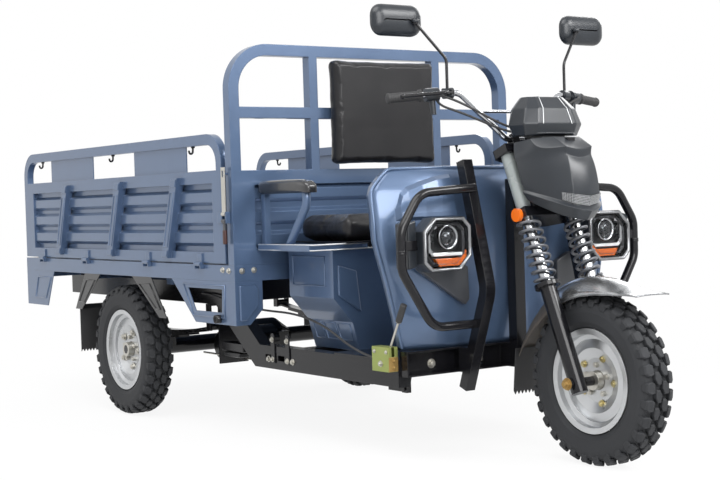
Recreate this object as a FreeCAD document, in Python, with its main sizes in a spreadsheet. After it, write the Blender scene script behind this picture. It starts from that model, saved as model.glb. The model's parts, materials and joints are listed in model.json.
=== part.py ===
# Cargo tricycle with a drop-side bed, a sprung fork and leaf-sprung rear wheels.
# Millimetres and degrees. X points forward, Y to the rider's left, Z up, and the ground is at Z = 0.
# Distances along X in the sheet are measured from the rear axle.
import FreeCAD, Part
import math
import os
import Sketcher

doc = FreeCAD.newDocument("cargo_tricycle")
sheet = doc.addObject("Spreadsheet::Sheet", "sizes")

driving = {
    # Running gear
    "rear_axle_x": -734.5, "wheelbase": 2207, "rear_track": 1168, "axle_height": 273,
    "tyre_half": 58, "tread_radius": 264, "tread_half": 46, "shoulder_radius": 246, "belly_radius": 208,
    "bead_half": 38, "flange_gap": 1.6, "belly_round": 17, "shoulder_draw": 2, "tyre_wall": 10, "lug_count": 22, "lug_long": 30, "lug_skew": 7, "lug_inner": 5,
    "lug_outer": 54, "lug_seat": 246, "rim_half": 48, "rim_flange": 169, "bead_seat": 155,
    "well_radius": 138, "well_half": 18, "well_slope": 10, "well_fall": 2, "rim_ease": 1, "rim_wall": 4, "rim_lip": 5, "disc_crown": 105, "disc_face": 72,
    "disc_set": 6, "disc_bulge": 14, "hub_bore": 32, "bead_gap": 0.4,
    "stud_circle": 50, "stud_count": 5, "stud_radius": 5, "stud_hole": 6.2, "nut_size": 19, "nut_height": 12,
    "hub_boss": 1.5, "drum_radius": 92, "drum_depth": 48, "hub_radius": 30, "hub_nose": 26, "running_gap": 0.06,
    "stub_radius": 18, "axle_tube": 35, "backplate_gap": 3, "backplate_thick": 6,
    "diff_radius": 84, "diff_half": 70, "diff_offset": 40, "diff_round": 20, "motor_radius": 72, "motor_cap": 57.6, "motor_long": 210,
    "motor_ahead": 175, "gearcase_wide": 90,
    "spring_side": 430, "leaf_wide": 50, "leaf_thick": 8, "leaf_count": 4, "leaf_half": 440,
    "leaf_rise": 34, "leaf_step": 90, "leaf_gap": 0.3, "eye_radius": 17, "eye_out": 10.2, "eye_lift": 8.5, "eye_pin": 8, "eye_gap": 0.3,
    "clamp_long": 96, "clamp_thick": 8, "hanger_thick": 8,
    # Chassis
    "rail_wide": 50, "rail_side": 430, "rail_tall": 86, "low_rail_base": 249, "high_rail_base": 474,
    "rail_front": 1735, "rail_rear": -930, "kick_front": 800, "kick_rear": 500, "cross_long": 50, "kick_shift": 40, "cross_inset": 60, "cross_behind": 100, "cross_ahead": 10,
    "slot_long": 46, "slot_first": 80, "slot_pitch": 90, "slot_tall": 20, "nose_beam_half": 448, "nose_beam_deep": 42, "nose_beam_tall": 84, "channel_wall": 6,
    "nose_beam_base": 286, "post_size": 38, "post_side": 214, "post_top_x": 1812, "post_top_z": 993,
    "post_bend_x": 1918, "post_bend_z": 565, "post_foot_x": 1793, "post_foot_z": 230, "post_bend": 90,
    "loop_x": 1860, "loop_radius": 15, "loop_out": 520, "loop_top": 903, "loop_shoulder": 770,
    "loop_waist": 640, "loop_foot": 452, "loop_bend": 80, "loop_tuck": 120, "loop_drop": 14,
    "mast_x": 1812, "mast_size": 42, "mast_top": 930, "head_radius": 27, "head_low": 598, "head_high": 790,
    "gusset_thick": 12, "gusset_tall": 70,
    # Cab front
    "shield_front": 1776, "shield_lip": 26, "shield_sweep": 60, "shield_flat": 330, "shield_bend": 150,
    "shield_wall": 3, "shield_top": 976, "shield_half": 515,
    "shield_top_half": 440, "shield_corner_z": 905, "shield_waist_z": 735, "shield_low_half": 425,
    "shield_round": 40,
    "lamp_x": 1896, "lamp_deep": 90, "lamp_y": 362, "lamp_z": 722, "lamp_half_wide": 98,
    "lamp_half_tall": 88, "lamp_cut": 46, "lens_thick": 10, "lens_inset": 7,
    "floor_thick": 6,
    # Seat
    "barrel_rear": 1060, "barrel_front": 1353, "barrel_half": 449, "barrel_top": 700, "barrel_waist": 530,
    "barrel_knee": 440, "barrel_knee_half": 372, "barrel_foot_half": 343,
    "barrel_wall": 4, "platform_rear": 1030, "platform_front": 1376, "platform_half": 560,
    "platform_thick": 22, "hatch_rear": 1100, "hatch_front": 1310, "hatch_half": 330,
    "seat_rear": 1066, "seat_front": 1405, "seat_half": 420, "seat_base_thick": 6, "seat_top": 824,
    "seat_pin": 5, "seat_hinge_y": 300, "seat_hinge_long": 50, "seat_lift": 2,
    "arm_y": 532, "arm_rear": 1046, "arm_tube": 15, "arm_post": 24, "arm_top": 905,
    "arm_foot_x": 1206, "arm_bow_x": 1334, "arm_bow_z": 872, "pad_tall": 50, "pad_half": 27, "pad_front": 1368,
    "back_half": 245, "back_base": 1000, "back_top": 1415, "back_thick": 72,
    # Bed
    "bed_rear": -991, "bed_front": 1019, "bed_half": 656, "deck_top": 653.5, "deck_thick": 3.5,
    "sill_base": 590, "sill_wide": 50, "bearer_long": 50, "bearer_outer": 850, "bearer_inner": 400,
    "hoop_deep": 43, "hoop_wide": 42, "hoop_top": 1458, "hoop_round": 145, "mid_rail_base": 1186,
    "mid_rail_tall": 41, "upright_y": 290, "upright_wide": 36, "head_panel_top": 995, "head_frame": 54,
    "head_rib_pitch": 84, "rib_face": 36, "rib_slope": 13, "rib_deep": 16, "rib_sheet": 2.5,
    "board_gap": 2, "board_thick": 40, "board_top": 1000, "board_front": 955, "board_rear": -985,
    "pocket_front": 868, "pocket_rear": -880, "pocket_base": 698, "pocket_top": 952, "sheet_back": 6,
    "side_rib_pitch": 76, "rail_tube_tall": 40, "rail_tube_wide": 30, "rail_top": 1137, "rail_round": 90,
    "rail_loop_front": 944, "plate_thick": 4, "plate_one_rear": -681, "plate_one_front": -216,
    "plate_two_rear": 193, "plate_two_front": 651, "strut_wide": 52, "strut_deep": 18, "strut_lean": 103,
    "strut_one": -594, "strut_two": -43, "strut_three": 470, "tail_gap": 4, "tail_pocket_half": 510,
    "hinge_out": 12, "hinge_drop": 1.5, "hinge_pin": 5, "knuckle": 8.5, "knuckle_long": 36,
    "hinge_lug": 6, "hinge_side_gap": 1, "strap_thick": 6, "strap_tall": 40, "strap_lift": 4,
    "hinge_one": -766, "hinge_two": -277, "hinge_three": 323, "hinge_four": 764, "tail_hinge": 430,
    # Toggle latch at the front end of each drop side
    "latch_x": 985, "latch_pivot_z": 812, "latch_pin": 4,
    "lever_long": 84, "lever_wide": 14, "lever_thick": 7, "link_wide": 24, "link_thick": 5, "link_long": 170,
    "link_slot": 12, "link_bar": 6, "stud_out": 10, "stud_half": 4.5, "latch_bracket": 8, "latch_arm": 46,
    # Skirts
    "skirt_base": 430, "skirt_thick": 4, "skirt_rear_top": -665, "skirt_rear_foot": -748,
    "arch_one_top_rear": -315, "arch_one_top_front": -156, "arch_one_foot_rear": -428, "arch_one_foot_front": -360,
    "arch_two_top_rear": 161, "arch_two_top_front": 336, "arch_two_foot_rear": 400, "arch_two_foot_front": 462,
    "skirt_front_top": 520, "skirt_front_foot": 708, "window_top_rear": 652, "window_top_front": 921,
    "window_foot_rear": 711, "window_foot_front": 915, "window_top": 560, "window_base": 474,
    "skirt_face_half": 115, "skirt_face_cut": 55,
    "flap_wide": 130, "flap_thick": 5, "flap_tall": 190, "flap_teeth": 9,
    "tooth_tall": 12, "arch_flap_x": -380, "arch_flap_top": 430,
    # Fork, along the leg from the front axle
    "rake": 22.5, "leg_side": 100, "steer_behind": 40, "slider_radius": 27, "slider_foot": -34, "slider_top": 338,
    "stanchion_radius": 19, "stanchion_foot": 80, "spring_mean": 36, "spring_half": 4.2, "collar_radius": 42, "collar_tall": 14,
    "spring_turns": 7.5, "spring_gap": 1.2, "cover_radius": 24,
    "yoke_low": 562, "yoke_low_tall": 34, "yoke_high": 792, "yoke_high_tall": 30, "yoke_grip": 12,
    "stem_radius": 16, "front_axle_radius": 9, "axle_nut": 15, "axle_nut_thick": 14, "front_hub_half": 52,
    "front_drum": 76, "front_drum_depth": 40, "axle_shoulder": 15, "side_play": 0.6,
    "fender_radius": 313, "fender_wall": 3, "fender_half": 71, "fender_skirt": 30, "fender_rear_x": -297.7, "fender_rear_z": 98.8,
    "fender_crest_x": -201.5, "fender_crest_z": 336.7, "fender_tip_x": 275, "fender_tip_z": 285, "fender_tab": 10,
    "fender_tab_low": 284, "fender_tab_high": 304, "fender_flap_half": 70, "fender_flap_long": 205, "fender_flap_lean": 27,
    "marker_radius": 22, "marker_thick": 14,
    # Handlebar and cowl
    "bar_radius": 11, "grip_end_x": 1738, "grip_end_y": 466, "grip_end_z": 1203, "bar_bend_x": 1806,
    "bar_bend_y": 222, "bar_bend_z": 1222, "bar_foot_y": 62, "bar_up": 43, "bar_ahead": 15,
    "bar_bend_round": 45, "brace_z": 1158, "brace_radius": 6, "grip_radius": 16, "grip_long": 118,
    "clamp_block": 30, "switch_long": 46, "switch_radius": 22, "switch_start": 132,
    "pilot_radius": 10, "pilot_long": 52, "pilot_sink": 4, "lead_wall": 4, "lever_reach": 150, "lever_ahead": 60, "lever_radius": 6, "lever_ball": 9,
    "lever_perch": 196, "perch_long": 34, "perch_radius": 18, "perch_pin": 4,
    "mirror_stem": 5, "mirror_rise": 96, "mirror_top_x": 1733, "mirror_top_y": 360,
    "mirror_top_z": 1452, "mirror_half_wide": 100, "mirror_half_tall": 52, "mirror_thick": 34,
    "mirror_y": 415, "mirror_z": 1462, "mirror_round": 44, "mirror_gap": 0.5, "mirror_ball": 9, "cup_radius": 13, "cup_tall": 13,
    "pod_x": 1985, "pod_half": 150, "pod_base": 1076, "pod_top": 1186, "pod_rear": 1925, "pod_front": 2052,
    "cowl_rear": 1938, "cowl_nose": 2216, "cowl_half": 132, "cowl_nose_half": 74, "cowl_top": 1060,
    "cowl_base": 868, "cowl_chin": 782, "cowl_brow": 2120, "cowl_wall": 4, "cowl_round": 30, "cowl_stay": 16,
    "pod_stay": 14,
    # Controls
    "box_rear": 1640, "box_long": 94, "box_wide": 38, "box_tall": 82, "box_base": 304, "box_wall": 3,
    "shift_pivot_x": 1690, "shift_pivot_z": 330, "shift_rod": 4, "shift_top_x": 1802, "shift_top_z": 528,
    "knob_radius": 10, "knob_long": 66, "shift_slot": 12, "shift_pin": 5,
    "pedal_x": 1560, "pedal_y": 300, "pedal_z": 216, "pedal_reach": 70, "pedal_rise": 210, "rod_above": 27, "pedal_pin": 7,
    "pedal_wide": 60, "pedal_thick": 10, "pedal_slot": 150, "rod_radius": 4, "rod_rear": 120, "rod_guide": 470,
    "eye_play": 1.5, "rod_eye": 12, "rod_sink": 9.6, "guide_gap": 0.3, "guide_thick": 8, "bracket_thick": 8, "bracket_reach": 110, "slide_gap": 1,
    # Small extras
    "fork_travel": 66, "coil_steps": 12, "perch_arm": 34, "perch_eye": 9, "perch_plate": 5, "mirror_bend": 40,
    "cowl_chin_x": 2062, "cowl_low_x": 2012, "cable_drop": 34, "cable_out": 20, "cable_run": 90, "cable_in": 70, "cable_near": 45, "cable_pitch": 14, "lead_bend": 9,
    "cable_radius": 4, "cable_bend": 16, "cable_high": 470, "seat_pin_ahead": 14, "seat_knuckle": 9,
    "cushion_round": 24, "arm_bend": 60, "arm_top_x": 1322, "hinge_seat": 18, "strut_foot": 28, "link_rise": 26,
    "flap_bar": 20,
}

for row, (name, value) in enumerate(driving.items(), 1):
    sheet.set(f"A{row}", name)
    sheet.set(f"B{row}", str(value))
    sheet.setAlias(f"B{row}", name)
doc.recompute()


class Size:
    # A length or angle: its number now, and the sheet formula that gives it
    def __init__(self, number, text):
        self.number = number
        self.text = text

    def __add__(self, other):
        other = size_of(other)
        return Size(self.number + other.number, f"({self.text} + {other.text})")

    def __sub__(self, other):
        other = size_of(other)
        return Size(self.number - other.number, f"({self.text} - {other.text})")

    def __mul__(self, other):
        other = size_of(other)
        return Size(self.number * other.number, f"({self.text} * {other.text})")

    def __truediv__(self, other):
        other = size_of(other)
        return Size(self.number / other.number, f"({self.text} / {other.text})")

    def __radd__(self, other):
        return size_of(other) + self

    def __rsub__(self, other):
        return size_of(other) - self

    def __rmul__(self, other):
        return size_of(other) * self

    def __rtruediv__(self, other):
        return size_of(other) / self

    def __neg__(self):
        return Size(-self.number, f"(-{self.text})")


def size_of(value):
    return value if isinstance(value, Size) else Size(value, repr(value))


def sine(angle):
    return Size(math.sin(math.radians(angle.number)), f"sin({angle.text})")


def cosine(angle):
    return Size(math.cos(math.radians(angle.number)), f"cos({angle.text})")


class Sheet:
    def __getattr__(self, name):
        return Size(float(sheet.get(name)), f"sizes.{name}")


d = Sheet()
kept = []


def vector(x, y, z):
    return FreeCAD.Vector(size_of(x).number, size_of(y).number, size_of(z).number)


def bind(item, prop, value):
    item.setExpression(prop, size_of(value).text)


def place(item, x=0, y=0, z=0):
    bind(item, ".Placement.Base.x", d.rear_axle_x + x)
    bind(item, ".Placement.Base.y", y)
    bind(item, ".Placement.Base.z", z)
    return item


def turn(item, axis, angle):
    item.Placement.Rotation = FreeCAD.Rotation(FreeCAD.Vector(*axis), 1)
    bind(item, ".Placement.Rotation.Angle", angle)
    return item


def keep(item, label):
    item.Label = label
    kept.append(item)
    return item


# Sketch and solid helpers

def fix(sketch, mark, kind, axis, value):
    # A point lies on an axis, or at a distance from it that the sheet gives
    if not isinstance(value, Size) and value == 0:
        sketch.addConstraint(Sketcher.Constraint("PointOnObject", mark, 1, axis))
        return
    index = sketch.addConstraint(Sketcher.Constraint(kind, -1, 1, mark, 1, size_of(value).number))
    bind(sketch, f"Constraints[{index}]", value)


def draw(sketch, corners, closed=True):
    # Straight sides between corners (x, y), with a round where a corner has a third value
    points = [vector(corner[0], corner[1], 0) for corner in corners]
    rounds = [size_of(corner[2]) if len(corner) > 2 else None for corner in corners]
    count = len(points)
    sides = count if closed else count - 1
    marks = []
    for corner, point in zip(corners, points):
        mark = sketch.addGeometry(Part.Point(point), True)
        fix(sketch, mark, "DistanceX", -2, corner[0])
        fix(sketch, mark, "DistanceY", -1, corner[1])
        marks.append(mark)
    ways = [(points[(i + 1) % count] - points[i]).normalize() for i in range(sides)]
    trims = []
    for i in range(count):
        turned = 0 if rounds[i] is None else ways[i - 1].getAngle(ways[i % sides])
        trims.append(0 if rounds[i] is None else rounds[i].number * math.tan(turned / 2))
    lines = []
    for i in range(sides):
        start = points[i] + ways[i] * trims[i]
        end = points[(i + 1) % count] - ways[i] * trims[(i + 1) % count]
        lines.append(sketch.addGeometry(Part.LineSegment(start, end), False))
    for i in range(count):
        into = lines[i - 1] if closed or i > 0 else None
        out = lines[i] if i < sides else None
        if rounds[i] is None:
            if into is not None:
                sketch.addConstraint(Sketcher.Constraint("Coincident", into, 2, marks[i], 1))
            if out is not None:
                sketch.addConstraint(Sketcher.Constraint("Coincident", out, 1, marks[i], 1))
            continue
        left = ways[i - 1].cross(ways[i % sides]).z > 0
        inward = FreeCAD.Vector(-ways[i - 1].y, ways[i - 1].x, 0) * (1 if left else -1)
        start = points[i] - ways[i - 1] * trims[i]
        end = points[i] + ways[i % sides] * trims[i]
        middle = start + inward * rounds[i].number
        first, last = (start, end) if left else (end, start)
        angles = [math.atan2(p.y - middle.y, p.x - middle.x) for p in (first, last)]
        circle = Part.Circle(middle, FreeCAD.Vector(0, 0, 1), rounds[i].number)
        arc = sketch.addGeometry(Part.ArcOfCircle(circle, angles[0], angles[1]), False)
        sketch.addConstraint(Sketcher.Constraint("PointOnObject", marks[i], 1, into))
        sketch.addConstraint(Sketcher.Constraint("PointOnObject", marks[i], 1, out))
        sketch.addConstraint(Sketcher.Constraint("Tangent", into, 2, arc, 1 if left else 2))
        sketch.addConstraint(Sketcher.Constraint("Tangent", arc, 2 if left else 1, out, 1))
        index = sketch.addConstraint(Sketcher.Constraint("Radius", arc, rounds[i].number))
        bind(sketch, f"Constraints[{index}]", rounds[i])
    return len(lines) + sum(1 for item in rounds if item is not None)


def profile(body, plane, corners, offset=0, closed=True):
    sketch = body.newObject("Sketcher::SketchObject", body.Name + "_profile")
    support = next(item for item in body.Origin.OriginFeatures if item.Role == plane)
    sketch.AttachmentSupport = (support, [""])
    sketch.MapMode = "FlatFace"
    bind(sketch, "AttachmentOffset.Base.z", offset)
    draw(sketch, corners, closed)
    return sketch


def slab(name, plane, corners, thick, x=0, y=0, z=0):
    # A flat outline padded evenly to both sides of its plane
    body = doc.addObject("PartDesign::Body", name)
    pad = body.newObject("PartDesign::Pad", name + "_pad")
    pad.Profile = profile(body, plane, corners)
    pad.SideType = "Symmetric"
    bind(pad, "Length", thick)
    return place(body, x, y, z)


def turned(name, corners, x=0, y=0, z=0):
    # Corners (along Y, radius) revolved about Y
    body = doc.addObject("PartDesign::Body", name)
    sketch = profile(body, "YZ_Plane", corners)
    solid = body.newObject("PartDesign::Revolution", name + "_revolved")
    solid.Profile = sketch
    solid.ReferenceAxis = (sketch, ["H_Axis"])
    solid.Angle = 360
    return place(body, x, y, z)


def bent_tube(name, plane, corners, half, x=0, y=0, z=0):
    # A tube along a flat route: half is its radius, or its half sizes in and out of the plane
    body = doc.addObject("PartDesign::Body", name)
    route = profile(body, plane, corners, closed=False)
    doc.recompute()
    edges = [f"Edge{i + 1}" for i in range(len(route.Shape.Edges))]
    section = body.newObject("Sketcher::SketchObject", name + "_section")
    section.AttachmentSupport = (route, [edges[0]])
    section.MapMode = "NormalToEdge"
    section.MapPathParameter = 0
    doc.recompute()
    if isinstance(half, tuple):
        across = section.Placement.Rotation.multVec(FreeCAD.Vector(1, 0, 0))
        normal = route.Placement.Rotation.multVec(FreeCAD.Vector(0, 0, 1))
        wide, deep = half if abs(across.dot(normal)) < 0.5 else half[::-1]
        draw(section, [(-wide, -deep), (wide, -deep), (wide, deep), (-wide, deep)])
    else:
        circle = Part.Circle(FreeCAD.Vector(0, 0, 0), FreeCAD.Vector(0, 0, 1), size_of(half).number)
        ring = section.addGeometry(circle, False)
        section.addConstraint(Sketcher.Constraint("Coincident", ring, 3, -1, 1))
        index = section.addConstraint(Sketcher.Constraint("Radius", ring, size_of(half).number))
        bind(section, f"Constraints[{index}]", half)
    pipe = body.newObject("PartDesign::AdditivePipe", name + "_pipe")
    pipe.Profile = section
    pipe.Spine = (route, edges)
    return place(body, x, y, z)


def box(name, low, high):
    # A block between two corners
    item = doc.addObject("Part::Box", name)
    for prop, start, end in zip(("Length", "Width", "Height"), low, high):
        bind(item, prop, size_of(end) - start)
    return place(item, *low)


def rod(name, radius, length, axis, x=0, y=0, z=0):
    # A cylinder centred on a point, along X, Y or Z
    item = doc.addObject("Part::Cylinder", name)
    bind(item, "Radius", radius)
    bind(item, "Height", length)
    half = size_of(length) / 2
    if axis == "X":
        item.Placement.Rotation = FreeCAD.Rotation(FreeCAD.Vector(0, 1, 0), 90)
        return place(item, x - half, y, z)
    if axis == "Y":
        item.Placement.Rotation = FreeCAD.Rotation(FreeCAD.Vector(1, 0, 0), -90)
        return place(item, x, y - half, z)
    return place(item, x, y, z - half)


def joined(name, items):
    item = doc.addObject("Part::MultiFuse", name)
    item.Shapes = items
    return item


def welded(name, items):
    # Joined one after another, where a single fuse of all of them has no valid result
    whole = items[0]
    for i, item in enumerate(items[1:]):
        step = doc.addObject("Part::Fuse", f"{name}_{i}")
        step.Base = whole
        step.Tool = item
        whole = step
    return whole


def cut(name, base, tools):
    item = doc.addObject("Part::Cut", name)
    item.Base = base
    item.Tool = tools[0] if len(tools) == 1 else joined(name + "_tools", tools)
    return item


def mirrored(name, source):
    item = doc.addObject("Part::Mirroring", name)
    item.Source = source
    item.Base = FreeCAD.Vector(0, 0, 0)
    item.Normal = FreeCAD.Vector(0, 1, 0)
    return item


def group(name, items):
    item = doc.addObject("Part::Compound", name)
    item.Links = items
    return item


def pair(name, right):
    return group(name, [right, mirrored(name + "_left", right)])


def feature(name, shape):
    # A shape that follows a rule in space, in part axes with X from the rear axle
    item = doc.addObject("Part::Feature", name)
    item.Shape = shape
    return place(item)


def straight_rod(start, end, radius):
    way = end - start
    return Part.makeCylinder(radius.number, way.Length, start, way)


def space_tube(points, radius, bend):
    # Straight runs joined by tangent arcs of one bend radius
    edges = []
    at = points[0]
    for before, corner, after in zip(points, points[1:], points[2:]):
        into = (corner - before).normalize()
        out = (after - corner).normalize()
        trim = bend.number * math.tan(into.getAngle(out) / 2)
        start = corner - into * trim
        end = corner + out * trim
        inward = (out - into).normalize()
        middle = corner + inward * math.hypot(bend.number, trim)
        top = middle - inward * bend.number
        edges.append(Part.LineSegment(at, start).toShape())
        edges.append(Part.Arc(start, top, end).toShape())
        at = end
    edges.append(Part.LineSegment(at, points[-1]).toShape())
    path = Part.Wire(edges)
    ring = Part.Wire(Part.Circle(points[0], points[1] - points[0], radius.number).toShape())
    return path.makePipeShell([ring], True, False)


# Wheels

def tyre(name, x, y, z):
    inner = d.bead_half - d.tyre_wall
    corners = [
        (-d.bead_half, d.bead_seat + d.bead_gap), (-d.bead_half, d.rim_flange + d.flange_gap),
        (-d.tyre_half, d.belly_radius, d.belly_round), (-d.tyre_half + d.shoulder_draw, d.shoulder_radius),
        (-d.tread_half, d.tread_radius), (d.tread_half, d.tread_radius),
        (d.tyre_half - d.shoulder_draw, d.shoulder_radius), (d.tyre_half, d.belly_radius, d.belly_round),
        (d.bead_half, d.rim_flange + d.flange_gap), (d.bead_half, d.bead_seat + d.bead_gap),
        (inner, d.bead_seat + d.bead_gap), (inner, d.rim_flange + d.tyre_wall),
        (d.tyre_half - d.tyre_wall, d.belly_radius), (d.tread_half - d.tyre_wall, d.tread_radius - d.tyre_wall),
        (-d.tread_half + d.tyre_wall, d.tread_radius - d.tyre_wall), (-d.tyre_half + d.tyre_wall, d.belly_radius),
        (-inner, d.rim_flange + d.tyre_wall), (-inner, d.bead_seat + d.bead_gap),
    ]
    body = turned(name, corners, x, y, z)
    axis = next(item for item in body.Origin.OriginFeatures if item.Role == "Y_Axis")
    half = d.lug_long / 2
    step = 180 / d.lug_count
    for side in (-1, 1):
        lug = [(-half, side * d.lug_inner), (half - d.lug_skew, side * (d.lug_inner + d.lug_skew)),
               (half, side * d.lug_outer), (-half + d.lug_skew, side * d.lug_outer)]
        sketch = profile(body, "XY_Plane", lug if side > 0 else lug[::-1], d.lug_seat)
        if side > 0:
            sketch.AttachmentOffset.Rotation = FreeCAD.Rotation(FreeCAD.Vector(0, 1, 0), 1)
            bind(sketch, "AttachmentOffset.Rotation.Angle", step)
            bind(sketch, "AttachmentOffset.Base.x", d.lug_seat * sine(step))
            bind(sketch, "AttachmentOffset.Base.z", d.lug_seat * cosine(step))
        pad = body.newObject("PartDesign::Pad", name + "_lug")
        pad.Profile = sketch
        bind(pad, "Length", d.axle_height - d.lug_seat)
        pattern = body.newObject("PartDesign::PolarPattern", name + "_lugs")
        pattern.Originals = [pad]
        pattern.Axis = (axis, [""])
        pattern.Angle = 360
        bind(pattern, "Occurrences", d.lug_count)
        body.Tip = pattern
    return keep(body, name)


def rim(name, x, y, z):
    seat = d.bead_seat - d.rim_ease
    inner = d.well_radius - d.rim_wall
    face = d.disc_set + d.rim_wall
    shoulder = d.well_half + d.well_slope
    fall = d.well_fall
    corners = [
        (d.rim_half, d.rim_flange), (d.rim_half - d.rim_lip, d.rim_flange), (d.bead_half + d.rim_ease, seat),
        (shoulder - fall, seat - fall), (d.well_half, d.well_radius), (-d.well_half, d.well_radius),
        (-shoulder + fall, seat - fall), (-d.bead_half - d.rim_ease, seat), (-d.rim_half + d.rim_lip, d.rim_flange),
        (-d.rim_half, d.rim_flange), (-d.rim_half + fall, seat - d.rim_wall), (-shoulder, seat - d.rim_wall - fall),
        (-d.well_half - d.rim_wall, inner), (-face - d.disc_bulge / 2, inner), (-face - d.disc_bulge, d.disc_crown),
        (-face, d.disc_face), (-face, d.hub_bore), (-d.disc_set, d.hub_bore), (-d.disc_set, d.disc_face + fall),
        (-d.disc_set - d.disc_bulge, d.disc_crown), (-d.disc_set - d.rim_wall, inner),
        (d.well_half + d.rim_wall, inner), (shoulder, seat - d.rim_wall - fall), (d.rim_half - fall, seat - d.rim_wall),
    ]
    body = turned(name, corners, x, y, z)
    axis = next(item for item in body.Origin.OriginFeatures if item.Role == "Y_Axis")
    hole = body.newObject("PartDesign::Pocket", name + "_stud_hole")
    sketch = body.newObject("Sketcher::SketchObject", name + "_stud_circle")
    support = next(item for item in body.Origin.OriginFeatures if item.Role == "XZ_Plane")
    sketch.AttachmentSupport = (support, [""])
    sketch.MapMode = "FlatFace"
    middle = vector(0, d.stud_circle, 0)
    ring = sketch.addGeometry(Part.Circle(middle, FreeCAD.Vector(0, 0, 1), d.stud_hole.number), False)
    sketch.addConstraint(Sketcher.Constraint("PointOnObject", ring, 3, -2))
    index = sketch.addConstraint(Sketcher.Constraint("DistanceY", -1, 1, ring, 3, d.stud_circle.number))
    bind(sketch, f"Constraints[{index}]", d.stud_circle)
    index = sketch.addConstraint(Sketcher.Constraint("Radius", ring, d.stud_hole.number))
    bind(sketch, f"Constraints[{index}]", d.stud_hole)
    hole.Profile = sketch
    hole.Type = "ThroughAll"
    hole.SideType = "Symmetric"
    pattern = body.newObject("PartDesign::PolarPattern", name + "_stud_holes")
    pattern.Originals = [hole]
    pattern.Axis = (axis, [""])
    pattern.Angle = 360
    bind(pattern, "Occurrences", d.stud_count)
    body.Tip = pattern
    return keep(body, name)


def hub(name, drum_radius, drum_depth, half, bore, x, y, z):
    # Drum and spindle tube behind the disc, with studs and nuts through it
    low = -d.disc_set - d.rim_wall - d.hub_nose
    corners = [
        (low, bore), (low, d.hub_radius), (-d.disc_set, d.hub_radius), (-d.disc_set, drum_radius),
        (drum_depth - d.disc_set, drum_radius), (drum_depth - d.disc_set, d.hub_radius), (half, d.hub_radius),
        (half, bore),
    ]
    parts = [turned(name + "_drum", corners, x, y, z)]
    face = -d.disc_set - d.rim_wall
    for i in range(int(d.stud_count.number)):
        angle = 360 * i / d.stud_count
        at_x = x + d.stud_circle * sine(angle)
        at_z = z + d.stud_circle * cosine(angle)
        stud = rod(f"{name}_stud_{i}", d.stud_radius, d.nut_height * 2 + d.rim_wall, "Y", at_x, y + face, at_z)
        nut = doc.addObject("Part::Prism", f"{name}_nut_{i}")
        nut.Polygon = 6
        bind(nut, "Circumradius", d.nut_size / 2)
        bind(nut, "Height", d.nut_height)
        nut.Placement.Rotation = FreeCAD.Rotation(FreeCAD.Vector(1, 0, 0), 90)
        parts += [stud, place(nut, at_x, y + face, at_z)]
    return keep(joined(name, parts), name)


def wheels():
    side = d.rear_track / 2
    tyre("right_rear_tyre", 0, -side, d.axle_height)
    rim("right_rear_rim", 0, -side, d.axle_height)
    bore = d.stub_radius + d.running_gap
    hub("right_rear_hub", d.drum_radius, d.drum_depth, d.drum_depth - d.disc_set + d.hub_boss, bore, 0, -side,
        d.axle_height)
    for piece in ("tyre", "rim", "hub"):
        source = next(item for item in kept if item.Label == f"right_rear_{piece}")
        keep(mirrored(f"left_rear_{piece}", source), f"left_rear_{piece}")
    tyre("front_tyre", d.wheelbase, 0, d.axle_height)
    rim("front_rim", d.wheelbase, 0, d.axle_height)
    bore = d.front_axle_radius + d.running_gap
    hub("front_hub", d.front_drum, d.front_drum_depth, d.front_hub_half, bore, d.wheelbase, 0, d.axle_height)


# Rear axle and springs

def rear_axle():
    side = d.rear_track / 2
    drum_back = side - d.drum_depth + d.disc_set
    plate = drum_back - d.backplate_gap
    shaft_end = side + d.disc_set + d.rim_wall + d.hub_nose - d.running_gap
    corners = [
        (-shaft_end, 0), (-shaft_end, d.stub_radius), (-plate, d.stub_radius), (-plate, d.drum_radius),
        (-plate + d.backplate_thick, d.drum_radius), (-plate + d.backplate_thick, d.axle_tube),
        (d.diff_offset - d.diff_half * 2, d.axle_tube), (d.diff_offset - d.diff_half, d.diff_radius, d.diff_round),
        (d.diff_offset + d.diff_half, d.diff_radius, d.diff_round), (d.diff_offset + d.diff_half * 2, d.axle_tube),
        (plate - d.backplate_thick, d.axle_tube), (plate - d.backplate_thick, d.drum_radius),
        (plate, d.drum_radius), (plate, d.stub_radius), (shaft_end, d.stub_radius), (shaft_end, 0),
    ]
    parts = [turned("axle_turning", corners, 0, 0, d.axle_height)]
    pad_top = d.axle_height + d.axle_tube + d.clamp_thick
    for way in (-1, 1):
        y = way * d.spring_side
        low = (-d.clamp_long / 2, y - d.leaf_wide / 2, d.axle_height)
        parts.append(box(f"spring_seat_{way}", low, (d.clamp_long / 2, y + d.leaf_wide / 2, pad_top)))
    case = box("gear_case", (0, d.diff_offset - d.gearcase_wide / 2, d.axle_height - d.axle_tube),
               (d.motor_ahead, d.diff_offset + d.gearcase_wide / 2, d.axle_height + d.axle_tube))
    parts.append(case)
    motor_y = d.diff_offset - d.gearcase_wide / 2 - d.motor_long / 2
    motor = rod("motor_can", d.motor_radius, d.motor_long, "Y", d.motor_ahead, motor_y, d.axle_height)
    motor_cap = rod("motor_cap", d.motor_cap, d.motor_long + d.gearcase_wide / 2, "Y", d.motor_ahead,
                    motor_y - d.gearcase_wide / 4, d.axle_height)
    axle = joined("axle_blank", parts)
    keep(joined("rear_axle", [axle, motor, motor_cap]), "rear_axle")


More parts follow.
